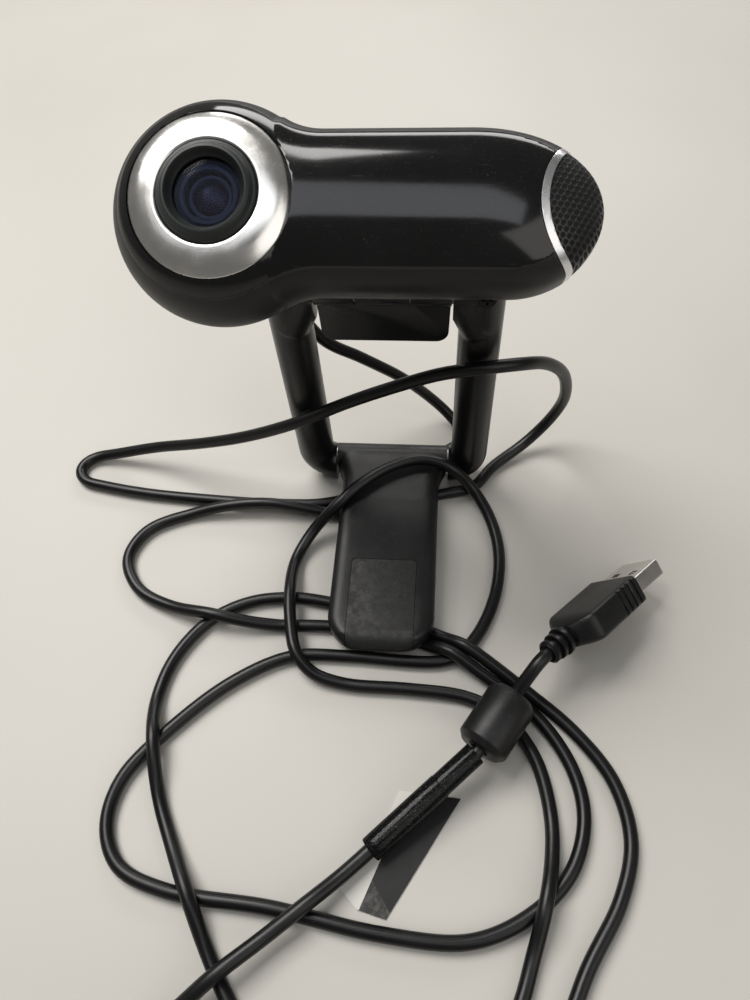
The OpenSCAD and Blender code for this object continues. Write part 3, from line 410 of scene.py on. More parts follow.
GLOSS = plastic("cover_gloss", (0.004, 0.004, 0.0042), 0.11, 0.03, 1800, dust=0.3, scratches=0.2)
SATIN = plastic("satin_shell", (0.006, 0.006, 0.0062), 0.42, 0.35, 3800, dust=0.3, wear=0.25, ior=1.42)
LEG_FINISH = plastic(
    "leg_satin", (0.005, 0.005, 0.0053), 0.3, 0.15, 3200, dust=0.4, scratches=0.25, wear=0.3, ior=1.42
)
FOOT_FINISH = plastic(
    "foot_satin", (0.0065, 0.0065, 0.0068), 0.38, 0.3, 3600, dust=0.5, scratches=0.25, wear=0.3, ior=1.42
)
BEZEL = plastic("bezel_grey", (0.014, 0.0175, 0.0165), 0.45, 0.15, 5000, dust=0.2, ior=1.4)
RUBBER = plastic("dark_rubber", (0.012, 0.012, 0.012), 0.6, 0.5, 2400, dust=0.3)
CORD = plastic("lead_black", (0.0035, 0.0035, 0.0038), 0.34, 0.15, 2600, dust=0.25, ior=1.4)
MOULDED = plastic("moulded_black", (0.005, 0.005, 0.0053), 0.4, 0.4, 3000, dust=0.4, wear=0.4, ior=1.4)
CHIP = plastic("chip_black", (0.02, 0.02, 0.02), 0.5, 0.2)
BOARD = plastic("board_green", (0.01, 0.08, 0.03), 0.35, 0.1)
AMBER = plastic("film_amber", (0.4, 0.16, 0.02), 0.3)
WHITE = plastic("tongue_white", (0.62, 0.61, 0.58), 0.45, 0.1)
# The ring's warm base colour is partly the metal's own colour and partly painted reflection, warmed to stand
# in for brownish reflections.
CHROME = metal("ring_chrome", (0.83, 0.815, 0.79), 0.17, bump=0.25, turned=HEAD)
TRIM = metal("trim_chrome", (0.8, 0.8, 0.82), 0.2, (3000, 300, 3000))
STEEL = metal("steel", (0.55, 0.55, 0.56), 0.3)
BLACK_STEEL = metal("black_steel", (0.03, 0.03, 0.03), 0.35)
NICKEL = metal("plug_nickel", (0.62, 0.6, 0.57), 0.24, (300, 3000, 3000), 0.2)
GOLD = metal("contact_gold", (0.85, 0.6, 0.25), 0.25)
FERRITE = plastic("ferrite", (0.03, 0.03, 0.03), 0.7, 0.3)
GLASS = see_through("lens_glass", (0.72, 0.76, 0.88), 0.93)
CLEAR = see_through("sleeve_clear", (0.16, 0.16, 0.16), 0.75, 0.16, 0.12)
GRILLE = grille_finish()
LENS = lens_finish()
RINGED = ringed_finish()
PAD = pad_finish()
PAPER = paper_finish()
DESK = desk_finish()

# ---------- mesh helpers ----------


def make(name, verts, faces, matrix=ROW, material=None):
    """A mesh from points in a frame, with its faces turned outwards."""
    mesh = bpy.data.meshes.new(name)
    mesh.from_pydata([matrix @ Vector(v) for v in verts], [], faces)
    mesh.validate()
    bm = bmesh.new()
    bm.from_mesh(mesh)
    bmesh.ops.remove_doubles(bm, verts=bm.verts, dist=1e-7)
    bmesh.ops.recalc_face_normals(bm, faces=bm.faces)
    bm.to_mesh(mesh)
    bm.free()
    obj = bpy.data.objects.new(name, mesh)
    bpy.context.scene.collection.objects.link(obj)
    if material:
        mesh.materials.append(material)
    return obj


def modify(obj, kind, **settings):
    """Applies one modifier with its settings."""
    modifier = obj.modifiers.new(kind.lower(), kind)
    for key, value in settings.items():
        setattr(modifier, key, value)
    graph = bpy.context.evaluated_depsgraph_get()
    mesh = bpy.data.meshes.new_from_object(obj.evaluated_get(graph))
    obj.modifiers.clear()
    obj.data = mesh
    return obj


def combine(obj, other, operation="DIFFERENCE"):
    """Applies a boolean to obj with another object, which is then removed."""
    modify(obj, "BOOLEAN", operation=operation, solver="EXACT", object=other)
    bpy.data.objects.remove(other)
    return obj


def bevel(obj, width, segments=2, angle=40):
    """Rounds the edges that turn by more than angle degrees."""
    limit = {"limit_method": "ANGLE", "angle_limit": radians(angle)}
    return modify(obj, "BEVEL", width=width * MM, segments=segments, **limit)


def shade(obj, angle):
    """Smooth shading, with edges that turn by more than angle degrees kept sharp."""
    obj.data.shade_smooth()
    obj.data.set_sharp_from_angle(angle=radians(angle))


def dress(obj, name, material):
    """Names a cut mesh and leaves one material on it."""
    obj.name = name
    obj.data.materials.clear()
    obj.data.materials.append(material)


def finish(obj, body, *nodes, slot, angle=38):
    """Shades a piece, hangs it under its body's empty and hides the CAD nodes it stands for. The slot is not
    used.
    """
    shade(obj, angle)
    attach(obj, body)
    if nodes:
        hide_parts(*nodes)
    return obj


def full_turn(count):
    return [2 * pi * k / count for k in range(count)]


def quarter_turn(count):
    return np.linspace(0, pi / 2, count)


def rings_mesh(rings, closed=False):
    """Faces between equal rings of points: closed joins the last to the first, or else both are capped."""
    n, count = len(rings[0]), len(rings)
    verts = [p for ring in rings for p in ring]
    faces = []
    for i in range(count if closed else count - 1):
        a, b = i * n, ((i + 1) % count) * n
        faces += [(a + k, a + (k + 1) % n, b + (k + 1) % n, b + k) for k in range(n)]
    if not closed:
        faces.append(tuple(range(n - 1, -1, -1)))
        faces.append(tuple((count - 1) * n + k for k in range(n)))
    return verts, faces


def lathe(name, profile, matrix, material=None, axis="n", seg=144, closed=True):
    """Turns (radius, distance) points about the lens axis (n), or about X (x)."""

    def ring(radius, distance):
        circle = [(radius * cos(a), radius * sin(a)) for a in full_turn(seg)]
        if axis == "n":
            return [(u, -distance, v) for u, v in circle]
        return [(distance, u, v) for u, v in circle]

    return make(name, *rings_mesh([ring(*point) for point in profile], closed), matrix, material)


def rod(radius, start, end, matrix, axis="n", seg=96):
    """A cylinder along the lens axis (n), or along X (x)."""
    return lathe("rod", [(radius, start), (radius, end)], matrix, None, axis, seg, closed=False)


def prism(outline, low, high, matrix, plane="xy", name="prism", material=None):
    """An outline extruded along the axis that its plane leaves out."""
    place = {
        "xy": lambda a, b, h: (a, b, h),
        "yz": lambda a, b, h: (h, a, b),
        "xz": lambda a, b, h: (a, h, b),
    }[plane]
    rings = [[place(a, b, h) for a, b in outline] for h in (low, high)]
    return make(name, *rings_mesh(rings), matrix, material)


def block(x0, x1, y0, y1, z0, z1, matrix):
    return prism([(x0, y0), (x1, y0), (x1, y1), (x0, y1)], z0, z1, matrix)


def arc(cx, cy, radius, start, end, steps):
    """Points on a circle from one angle to another, in degrees."""
    turns = [radians(start + (end - start) * k / steps) for k in range(steps + 1)]
    return [(cx + radius * cos(a), cy + radius * sin(a)) for a in turns]


def round_box(width, height, radius, steps):
    """A centred rectangle with rounded corners."""
    x, y = width / 2 - radius, height / 2 - radius
    corners = [(x, y), (-x, y), (-x, -y), (x, -y)]
    return [p for k, at in enumerate(corners) for p in arc(*at, radius, 90 * k, 90 * k + 90, steps)]


def between(a, b, start, end, at):
    """The point that a line from a, at start, to b, at end, passes at a value."""
    return a * (end - at) / (end - start) + b * (at - start) / (end - start)


def smooth_path(points, step=1.2):
    """A dense centripetal Catmull-Rom line through the points, then smoothed a little."""
    p = [np.array(point, float) for point in points]
    p = [2 * p[0] - p[1], *p, 2 * p[-1] - p[-2]]
    dense = []
    for a, b, c, d in zip(p, p[1:], p[2:], p[3:]):
        t = [0.0]
        for u, v in ((a, b), (b, c), (c, d)):
            t.append(t[-1] + max(np.linalg.norm(v - u), 1e-6) ** 0.5)
        count = max(2, int(np.linalg.norm(c - b) / step))
        for k in range(count):
            s = t[1] + (t[2] - t[1]) * k / count
            sides = [between(u, v, t[i], t[i + 1], s) for i, (u, v) in enumerate(((a, b), (b, c), (c, d)))]
            first = between(sides[0], sides[1], t[0], t[2], s)
            second = between(sides[1], sides[2], t[1], t[3], s)
            dense.append(between(first, second, t[1], t[2], s))
    dense = np.array([*dense, p[-2]])
    for _ in range(3):
        dense[1:-1] = dense[1:-1] * 0.5 + (dense[:-2] + dense[2:]) * 0.25
    return dense


def tube(name, path, radius, material=None, sides=16, matrix=ROW):
    """A round tube along a dense path, with its rings kept from twisting."""
    path = np.array(path, float)
    heading = np.gradient(path, axis=0)
    heading /= np.linalg.norm(heading, axis=1)[:, None]
    side = np.cross(heading[0], (0.3, 0.2, 1))
    rings = []
    for point, ahead in zip(path, heading):
        side = side - ahead * side.dot(ahead)
        side /= np.linalg.norm(side)
        up = np.cross(ahead, side)
        circle = [cos(a) * side + sin(a) * up for a in full_turn(sides)]
        rings.append([tuple(point + radius * spoke) for spoke in circle])
    return make(name, *rings_mesh(rings), matrix, material)


# ---------- camera and room ----------

CAMERA_AT, CAMERA_MM = Vector((13.53, -136.88, 186.12)), 27
YAW, DOWN, ROLL = (radians(a) for a in (-8.32, 55.62, -5.01))
DESK_REACH = 2000


def aim_camera():
    """A camera that looks down on the stand from the front, a little tipped to one side."""
    ahead = Vector((sin(YAW) * cos(DOWN), cos(YAW) * cos(DOWN), -sin(DOWN)))
    level = Vector((cos(YAW), -sin(YAW), 0))
    above = level.cross(ahead)
    right = cos(ROLL) * level + sin(ROLL) * above
    up = -sin(ROLL) * level + cos(ROLL) * above
    camera = bpy.data.objects.new("camera", bpy.data.cameras.new("camera"))
    bpy.context.scene.collection.objects.link(camera)
    bpy.context.scene.camera = camera
    camera.data.lens = CAMERA_MM
    camera.data.clip_start, camera.data.clip_end = 0.005, 20
    pose = Matrix((right, up, -ahead)).transposed().to_4x4()
    pose.translation = ROW @ CAMERA_AT
    camera.matrix_world = pose


def lamp(name, at, size, power, colour, depth=None):
    """A soft lamp that looks at the stand; its places and sizes are in metres."""
    data = bpy.data.lights.new(name, "AREA")
    data.energy, data.color, data.size = power, colour, size
    if depth:
        data.shape, data.size_y = "RECTANGLE", depth
    obj = bpy.data.objects.new(name, data)
    bpy.context.scene.collection.objects.link(obj)
    obj.location = at
    obj.rotation_euler = (Vector((0, 0, 0.03)) - Vector(at)).to_track_quat("-Z", "Y").to_euler()


def light_room():
    """Soft studio light: a key from the back left, a strip above, a fill and a strip behind."""
    lamp("key", (-0.35, 0.25, 0.75), 0.5, 7.6, (1, 0.98, 0.95))
    lamp("above", (-0.04, -0.24, 0.95), 0.9, 1.3, (0.93, 0.95, 1), 0.26)
    lamp("fill", (0.6, -0.5, 0.6), 0.7, 2.0, (1, 0.97, 0.93))
    lamp("back_strip", (0.1, 0.75, 0.45), 0.7, 2.2, (1, 0.98, 0.96), 0.2)
    world = bpy.data.worlds.new("room")
    world.use_nodes = True
    background = world.node_tree.nodes["Background"]
    background.inputs["Color"].default_value = (0.9, 0.88, 0.84, 1)
    background.inputs["Strength"].default_value = 0.17
    scene = bpy.context.scene
    scene.world = world
    scene.view_settings.view_transform = "Standard"
    scene.view_settings.look = "None"


aim_camera()
light_room()
corners = [(x * DESK_REACH, y * DESK_REACH, 0) for x, y in ((-1, -1), (1, -1), (1, 1), (-1, 1))]
floor = make("floor", corners, [(0, 1, 2, 3)], ROW, DESK)

# ---------- the lead ----------

GLAND_END = BAR_BACK + GLAND_LEN
# Points along the cord's middle, in the stand's frame
DROP = [
    (-31, 14.5, 68), (-27, 15, 56), (-19, 12.5, 43), (-9, 15.5, 33), (2, 19, 21.5), (10.5, 21, 10.8),
    (15.8, 20.2, 5), (19.4, 17.2, 2.3), (20.9, 13.5, 1.7), (20, 10.6, 1.7), (17, 8, 1.7),
]
BEHIND = [
    (10, 3, 1.7), (0, -4.5, 1.7), (-10, -10.5, 1.7), (-20, -13.9, 1.7), (-36, -14.6, 1.7),
    (-56, -13.8, 1.7), (-75, -12.3, 1.7), (-89, -10, 1.7), (-95.2, -8.4, 1.7), (-98, -5, 1.7),
    (-96.9, -1.1, 1.8), (-93.4, 0.9, 2.1), (-88, 1.1, 3.3), (-73, 0.6, 8), (-57, -2.6, 14.6),
    (-41, -6.3, 23), (-25, -8.9, 32.6), (-10, -8.2, 40.7), (4, -8.2, 47.7), (14, -9, 52.7),
    (23, -9.8, 55.5), (32, -7.2, 54.5), (39.5, -0.8, 48.6), (45.2, 4.8, 40), (48.2, 9, 30), (49, 12.6, 19),
    (45.8, 12.6, 10), (39.5, 9, 4), (30, 1.5, 1.7), (24.5, -6, 1.7), (14, -9.4, 1.7),
]
AROUND = [
    (0, -13.5, 1.7), (-14, -17.4, 1.7), (-24, -17.2, 3.6), (-36, -16.4, 4.7), (-48, -17.2, 3.8),
    (-60, -19.6, 1.7), (-71, -25.5, 1.7), (-74.5, -35, 1.7), (-69, -44.6, 1.7), (-58, -50, 2.6),
    (-46, -52.8, 5.1), (-37, -53.8, 3.6), (-27, -53.8, 1.7), (-13, -53.4, 1.7), (0, -55, 1.7),
    (9, -56.4, 1.7), (13, -57.8, 2.2), (18, -60.1, 5.3), (25, -64.3, 3.6), (34, -70, 1.7), (42, -77.5, 1.7),
    (48, -88, 1.7), (49.5, -98, 1.7), (46, -109, 1.7), (37, -118, 1.7), (24, -124, 1.7), (5, -124, 1.7),
    (-20, -120.6, 1.7), (-44, -118.8, 1.7), (-56, -114.5, 1.7), (-61, -106, 1.7), (-60, -95.5, 1.7),
    (-50, -82, 1.7), (-37, -69.8, 1.7), (-23, -62.4, 1.7), (-8, -61.6, 1.7), (8, -62.2, 1.7),
    (16, -61.8, 1.7), (20.6, -59.8, 1.7), (26, -53, 1.7), (30.5, -41, 1.7), (31.5, -28, 1.7),
    (29, -17, 2.2),
]
OVER = [
    (24.5, -9.6, 4.5), (17, -6.6, 12), (9, -5.2, 13.3), (0, -8, 13.2), (-9, -14.5, 12), (-15, -20, 9.5),
    (-21, -24.5, 4.5), (-25.5, -33, 2), (-25.4, -44.5, 5.1), (-24, -54, 5.1), (-21.4, -62.7, 5.2),
    (-17, -67, 3), (-8, -69.2, 1.7), (8, -69.6, 1.7), (23, -71, 1.7), (32, -75.5, 1.7), (39, -85, 1.7),
    (42, -98, 1.7), (41.5, -107, 3.2), (40, -114.2, 5.1), (39.1, -117.6, 5.1), (37, -125, 2.2),
    (32, -138, 1.7), (20, -150, 1.7), (2, -155, 1.7), (-16, -149, 1.7), (-26, -138, 1.7), (-32.5, -129, 2),
    (-37.8, -119.6, 5.1), (-44, -110, 2.4), (-50, -99, 2), (-53.4, -87, 5.3), (-56, -76, 2),
    (-54, -64.5, 1.7), (-47, -53.6, 1.7), (-37, -47.4, 1.7), (-25, -45.4, 1.7), (-13, -46.6, 1.7),
    (0, -49.6, 1.7), (11, -53, 1.7), (16.7, -55.5, 2.4), (21, -57.9, 5), (22.7, -58.8, 5.1),
    (30, -63.4, 3.4), (39, -69.8, 1.7), (49, -78.5, 1.7), (57, -89.5, 1.7), (59.5, -102, 1.7),
    (56, -114, 1.7), (48, -127, 1.7), (38, -146, 1.7), (20, -163, 1.7), (-8, -169, 1.7), (-31, -163.5, 1.7),
    (-39.8, -157, 1.7), (-43.4, -150, 1.7),
]
END = [
    (-41.2, -144.6, 2), (-36.2, -140.4, 3.2), (-29, -134, 5.6), (-20, -126.6, 4.8), (-11.8, -119.8, 5.1),
    (-5, -113.8, 3.6),
]
gland_tip, gland_out = in_row(AT_GLAND, 0, GLAND_END + 0.1), in_row(AT_GLAND, 0, GLAND_END + 2.5)
sleeve_start, bead_end = in_row(SLEEVE, -SLEEVE_LEN), in_row(BEAD, BEAD_LEN)
plug_in, into_plug = in_row(PLUG, -2.5), in_row(PLUG, 3)
# The short hop from the bead to the plug rises a little at its middle
bridge = tuple((Vector(bead_end) + Vector(plug_in)) / 2 + Vector((0, 0, 0.4)))
route = [gland_tip, gland_out, *DROP, *BEHIND, *AROUND, *OVER, *END, sleeve_start, tuple(BEAD_AT), bead_end,
         bridge, plug_in, tuple(PLUG_AT), into_plug]
line = smooth_path(route)
# Smoothing must not press the cord into the desk
line[:, 2] = np.maximum(line[:, 2], CORD_R + 0.03)
lead = tube("lead", line, CORD_R, CORD)
shade(lead, 60)
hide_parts("cord_drop", "cord_behind", "cord_around", "cord_over", "cord_end")
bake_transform(lead)

# ---------- camera head ----------


def signed_power(value, power):
    return copysign(abs(value) ** power, value)


def neck(x):
    """How much taller the bar is where the fillet leads it into the lens end."""
    across = min(max(NECK_X - x, 0), NECK_REACH)
    return 1 + (NECK_R - sqrt(NECK_R ** 2 - across ** 2)) / (BAR_H / 2)


def bar(inset, sides=120):
    """The bar: a squarish oval section that closes in a smooth dome at its far end."""
    tip, dome = BAR_REACH - inset, END_BOTTOM - inset
    places = [*np.linspace(BAR_START, tip - dome, 64)]
    places += [tip - dome * (1 - sin(a)) for a in quarter_turn(60)[1:-1]]
    places += [tip - 0.001]

    def open_at(x, end, length):
        """1 on the straight stretch, falling along an oval to 0 at the end."""
        along = max(0.0, (x - (end - inset) + length - inset) / (length - inset))
        return sqrt(max(0.0, 1 - along * along))

    def ring(x):
        above, below = open_at(x, BAR_REACH, END_TOP), open_at(x, BAR_REACH, END_BOTTOM)
        fore, aft = open_at(x, BAR_REACH + 0.2, END_FRONT), open_at(x, BAR_REACH + 0.2, END_BACK)
        widest = BAR_MID + WIDEST_FORWARD * (fore + aft) / 2
        half_height, half_depth = BAR_H / 2 - inset, (BAR_FRONT + BAR_BACK) / 2 - inset
        power = 2 / (SECTION_POWER + END_POWER_RISE * (1 - above))
        points = []
        for a in full_turn(sides):
            c, s = cos(a), sin(a)
            depth = BAR_MID + half_depth * fore - widest if c > 0 else widest - BAR_MID + half_depth * aft
            height = half_height * neck(x) * (above if s > 0 else below)
            points.append((x, -widest - depth * signed_power(c, power), height * signed_power(s, power)))
        return points

    return make("bar", *rings_mesh([ring(x) for x in places]), HEAD)


def drum_radius(distance, inset):
    """Radius of the lens end at a distance along its axis: the round side of a flattened ball."""
    across = (distance - DRUM_MID) / (DRUM_BULGE - inset * 0.5)
    return (DRUM_R - inset) * sqrt(max(0.0, 1 - across ** 2))


def drum(inset, front):
    """The round lens end. Its outside has a rounded edge at the back."""
    back = inset - BAR_BACK
    side = [(drum_radius(d, inset), d) for d in np.linspace(back, front, 70)]
    if inset == 0:
        r = side[0][0]
        side[0:1] = [(r - 0.6, back), (r - 0.25, back + 0.06), (r + 0.1, back + 0.2)]
    return lathe("drum", [(AXIS, back), *side, (AXIS, front)], HEAD, seg=220, closed=False)


def form(inset, front):
    """The whole head as one solid, drawn in by inset, with its lens end cut off flat at front."""
    return combine(bar(inset), drum(inset, front), "UNION")


def shell(front):
    """The head's hollow outside: its part in front of the seam, or the part behind it."""
    low, high = (SEAM, 40) if front else (-40, SEAM - GAP)
    body = form(0, COVER_FRONT)
    combine(body, rod(TRIM_R + GAP, -FAR, FAR, AT_GRILLE, seg=160))
    combine(body, block(-FAR, 2 * FAR, -high, -low, -FAR, FAR, HEAD), "INTERSECT")
    return combine(body, form(WALL, SEAM + (0.4 if front else 2)))


def front_cover():
    """Glossy front half, opened for the lens ring, with the shelf that the ring sits on."""
    cover = shell(front=True)
    combine(cover, rod(RING_R + GAP, SHELF, FAR, HEAD, seg=200))
    bevel(cover, 0.22, 2, 45)
    dress(cover, "front_cover_gloss", GLOSS)
    finish(cover, "camera_head", "front_cover", slot="gloss_black", angle=30)
    top, low, edge = SHELF - 0.05, SHELF - 1, SHELF + 1.4
    profile = [(11.4, low), (11.4, top), (RING_R, top), (RING_R + 0.15, edge), (17.2, edge), (17.2, low)]
    finish(lathe("cover_shelf", profile, HEAD, GLOSS), "camera_head", slot="gloss_black")


def screw_hole(radius, x, z):
    """Cutter for a hole that is open at the back and ends where the screw's head sits."""
    return rod(radius, -30, SCREW_SEAT, HEAD @ shift(x, 0, z), seg=40)


def rear_housing():
    """Satin back half, with its screw holes, the gland's hole and three hollow posts inside."""
    housing = shell(front=False)
    for x, z in SCREWS:
        combine(housing, screw_hole(SCREW_HOLE_R, x, z))
    combine(housing, rod(GLAND_HOLE_R, -30, 0, AT_GLAND, seg=40))
    bevel(housing, 0.2, 2, 45)
    dress(housing, "rear_housing_satin", SATIN)
    finish(housing, "camera_head", "rear_housing", slot="satin_black", angle=30)
    inside, outside, back, front = 0.95, 1.9, WALL - BAR_BACK + GAP, -GAP
    profile = [(inside, back), (outside, back), (outside, front), (inside, front)]
    for i, (x, z) in enumerate(SCREWS):
        post = lathe(f"housing_post_{i}", profile, HEAD @ shift(x, 0, z), SATIN, seg=32)
        combine(post, screw_hole(SCREW_HOLE_R - 0.01, x, z))
        finish(post, "camera_head", slot="satin_black")


def lens_ring():
    """Chrome ring with a softly domed front that falls away outwards."""
    (r0, d0), (r1, d1) = (RING_R, 11.9), (RING_BORE_R + 0.7, 13.9)
    dome = []
    for f in np.linspace(0.03, 0.97, 24):
        swell = sin(pi * f)
        dome.append((r0 + (r1 - r0) * f + 0.25 * swell, d0 + (d1 - d0) * f + 0.45 * swell))
    inside, step = RING_R - 1.6, 10.6
    ring = lathe("lens_ring_chrome", [
        (RING_R, SHELF), (RING_R, 11.75), *dome, (RING_BORE_R + 0.5, 13.92), (RING_BORE_R + 0.25, 13.86),
        (RING_BORE_R + 0.08, 13.7), (RING_BORE_R, 13.4), (RING_BORE_R, step), (inside, step), (inside, SHELF),
    ], HEAD, CHROME, seg=256)
    finish(ring, "camera_head", "lens_ring", slot="chrome")


def lens_bezel():
    """Dark funnel inside the ring, with a rounded lip round its mouth."""
    outside, foot = RING_BORE_R - GAP, RING_R - 1.7
    seat, rest = WINDOW_R + 0.05, WINDOW_R - 0.2
    bezel = lathe("lens_bezel_turned", [
        (foot, SHELF), (foot, 10.5), (outside, 10.5), (outside, 13.75), (outside - 0.07, 13.98),
        (outside - 0.25, 14.15), (outside - 0.6, 14.25), (MOUTH_R + 0.9, 15.06), (MOUTH_R + 0.65, 15.2),
        (MOUTH_R + 0.35, 15.33), (MOUTH_R + 0.12, 15.34), (MOUTH_R, 15.24), (MOUTH_R - 0.2, 14.85),
        (MOUTH_R - 0.55, 14.2), (WINDOW_R - 0.1, 13.7), (rest, 13.6), (rest, 13.2), (seat, 13.2),
        (seat, SHELF),
    ], HEAD, BEZEL, seg=200)
    finish(bezel, "camera_head", "lens_bezel", slot="bezel_grey", angle=25)


def lens_window():
    """Clear disc that closes the funnel."""
    back, front = 12.6, 13.2
    profile = [(AXIS, back), (WINDOW_R, back), (WINDOW_R, front - 0.05), (WINDOW_R - 0.3, front), (3, front),
               (AXIS, front)]
    window = lathe("lens_window_glass", profile, HEAD, GLASS, closed=False, seg=96)
    finish(window, "camera_head", "lens_window", slot="lens_glass")


def window_retainer():
    """Stepped ring behind the window."""
    retainer = lathe("window_retainer_stepped", [
        (4.8, 11.62), (4.8, 12.2), (4.9, 12.3), (5.5, 12.3), (5.6, 12.34), (5.62, 12.46), (5.7, 12.5),
        (WINDOW_R, 12.5), (WINDOW_R, 10.5), (6.0, 10.5), (6.0, 11.6),
    ], HEAD, RINGED, seg=160)
    finish(retainer, "camera_head", "window_retainer", slot="satin_black")


def lens_barrel():
    """Tube that slides to focus, and the domed lens held in its front."""
    bore, outside, seat, lens_r, lens_back = 2.3, 4.2, 3.5, 3.45, 10.0
    barrel = lathe("lens_barrel_ringed", [
        (bore, 3.4), (outside, 3.4), (outside, 10.7), (4.12, 10.8), (3.6, 10.8), (3.52, 10.74), (seat, 10.6),
        (seat, lens_back), (bore, lens_back),
    ], HEAD, RINGED, seg=120)
    finish(barrel, "focus_lens", "lens_barrel", slot="satin_black")
    rim, bulge = 10.5, 0.9
    cap = [(lens_r * cos(a), rim + bulge * sin(a)) for a in quarter_turn(14)[:-1]]
    profile = [(AXIS, lens_back), (lens_r, lens_back), *cap, (AXIS, rim + bulge)]
    glass = lathe("front_lens_dome", profile, HEAD, LENS, closed=False, seg=96)
    finish(glass, "focus_lens", "front_lens", slot="lens_glass", angle=60)


def end_cylinder(radius):
    """Cutter round the grille's axis."""
    return rod(radius, -FAR, FAR, AT_GRILLE, seg=200)


def grille_trim():
    """Bright rim that follows the bar's skin round the grille."""
    trim = bar(0)
    combine(trim, end_cylinder(TRIM_R), "INTERSECT")
    combine(trim, end_cylinder(TRIM_R - TRIM_W))
    combine(trim, bar(WALL))
    bevel(trim, 0.15, 2, 45)
    dress(trim, "grille_trim_bright", TRIM)
    finish(trim, "camera_head", "grille_trim", slot="chrome", angle=30)


def mic_grille():
    """Black mesh that follows the bar's skin inside the trim."""
    grille = bar(0.25)
    combine(grille, end_cylinder(TRIM_R - TRIM_W - GAP), "INTERSECT")
    combine(grille, bar(1.4))
    dress(grille, "mic_grille_mesh", GRILLE)
    finish(grille, "camera_head", "mic_grille", slot="screw_black", angle=30)


def cord_gland():
    """Ribbed strain relief on the head's back, with a groove that the housing's wall sits in."""
    bore, tip, groove, flange = 1.7, -GLAND_END, 2.6, 3.4
    outer_face, groove_low, groove_high, inner_face = -11.3, -10.45, -8.7, -7.8
    profile = [(bore, tip), (2.15, tip)]
    for k in range(4):
        start, rib, width = tip + 1 + 2.25 * k, 2.4 + 0.2 * k, 1.12
        low, end = rib - 0.45, start + width
        profile += [(rib - 0.12, start), (rib, start + 0.12), (rib, end - 0.12), (rib - 0.12, end),
                    (low, end + 0.1), (low, end + width - 0.1)]
    profile += [(flange - 0.1, outer_face - 0.15), (flange, outer_face), (flange, groove_low),
                (groove, groove_low), (groove, groove_high), (flange, groove_high), (flange, inner_face),
                (bore, inner_face)]
    gland = lathe("cord_gland_ribbed", profile, AT_GLAND, CORD, seg=64)
    return finish(gland, "camera_head", "cord_gland", slot="cord_black")


front_cover()
rear_housing()
lens_ring()
lens_bezel()
lens_window()
window_retainer()
lens_barrel()
grille_trim()
mic_grille()
gland = cord_gland()

# ---------- legs ----------


def leg_form(side, name):
    """A leg's outside: a bent tube, the knob and the brace at its top, all run together softly."""
    lean = ROW @ shift(0, 0, LEG_Z) @ spin(LEG_LEAN, "X")
    top = AT_HINGE @ Matrix.Scale(side, 4, (1, 0, 0))
    x = LEG_GAP / 2
    rise = (HINGE_Z - LEG_Z) / cos(radians(LEG_LEAN))
    bend = arc(x - BEND_R, BEND_R, BEND_R, -90, 0, 13)
    upright = [(x, z) for z in np.linspace(BEND_R + 3, rise, 24)]
    path = [(side * a, 0, z) for a, z in [(x - BEND_R - 3, 0), *bend, *upright]]
    body = tube(name, path, LEG_R, None, 64, lean)
    knob = [(KNOB_R * sin(t), x + KNOB_R * cos(t)) for t in np.linspace(pi / 2, 0.02, 16)]
    profile = [(AXIS, LEG_TOP_IN - 3), (KNOB_R, LEG_TOP_IN - 3), *knob]
    combine(body, lathe("knob", profile, top, axis="x", seg=64, closed=False), "UNION")
    brace = [(x - 5.5 * t, 0, 11.8 * t - 12) for t in np.linspace(0, 1.1, 12)]
    combine(body, tube("brace", brace, BRACE_R, None, 64, top), "UNION")
    modify(body, "REMESH", mode="VOXEL", voxel_size=0.42 * MM)
    return modify(body, "SMOOTH", factor=0.5, iterations=7)


def leg(side, node):
    """One leg, with its flat inner faces and the holes for its screw, the axle and the foot's pin."""
    body = leg_form(side, node + "_moulded")
    flip = Matrix.Scale(side, 4, (1, 0, 0))
    combine(body, block(-20, LEG_IN, -20, 20, -10, 30, ROW @ flip))
    combine(body, block(-20, LEG_TOP_IN, -20, 20, -20, 20, AT_HINGE @ flip))
    combine(body, block(-FAR, FAR, -30, 30, -30, 0, ROW))
    screw = AT_HINGE @ flip @ shift(LEG_GAP / 2 + 0.7, 0, -0.4)
    combine(body, rod(LEG_SCREW_HEAD_R, 4.2, 20, screw, seg=40))
    combine(body, rod(LEG_SCREW_R, 1.0, 20, screw, seg=24))
    combine(body, rod(AXLE_HOLE_R, 0, AXLE_HALF, AT_HINGE @ flip, "x", seg=40))
    combine(body, rod(PIN_HOLE_R, 0, PIN_OUT, AT_PINS @ flip, "x", seg=40))
    dress(body, node + "_moulded", LEG_FINISH)
    finish(body, "stand_legs", node, slot="satin_black", angle=50)


leg(-1, "leg_left")
leg(1, "leg_right")

# ---------- front lip ----------


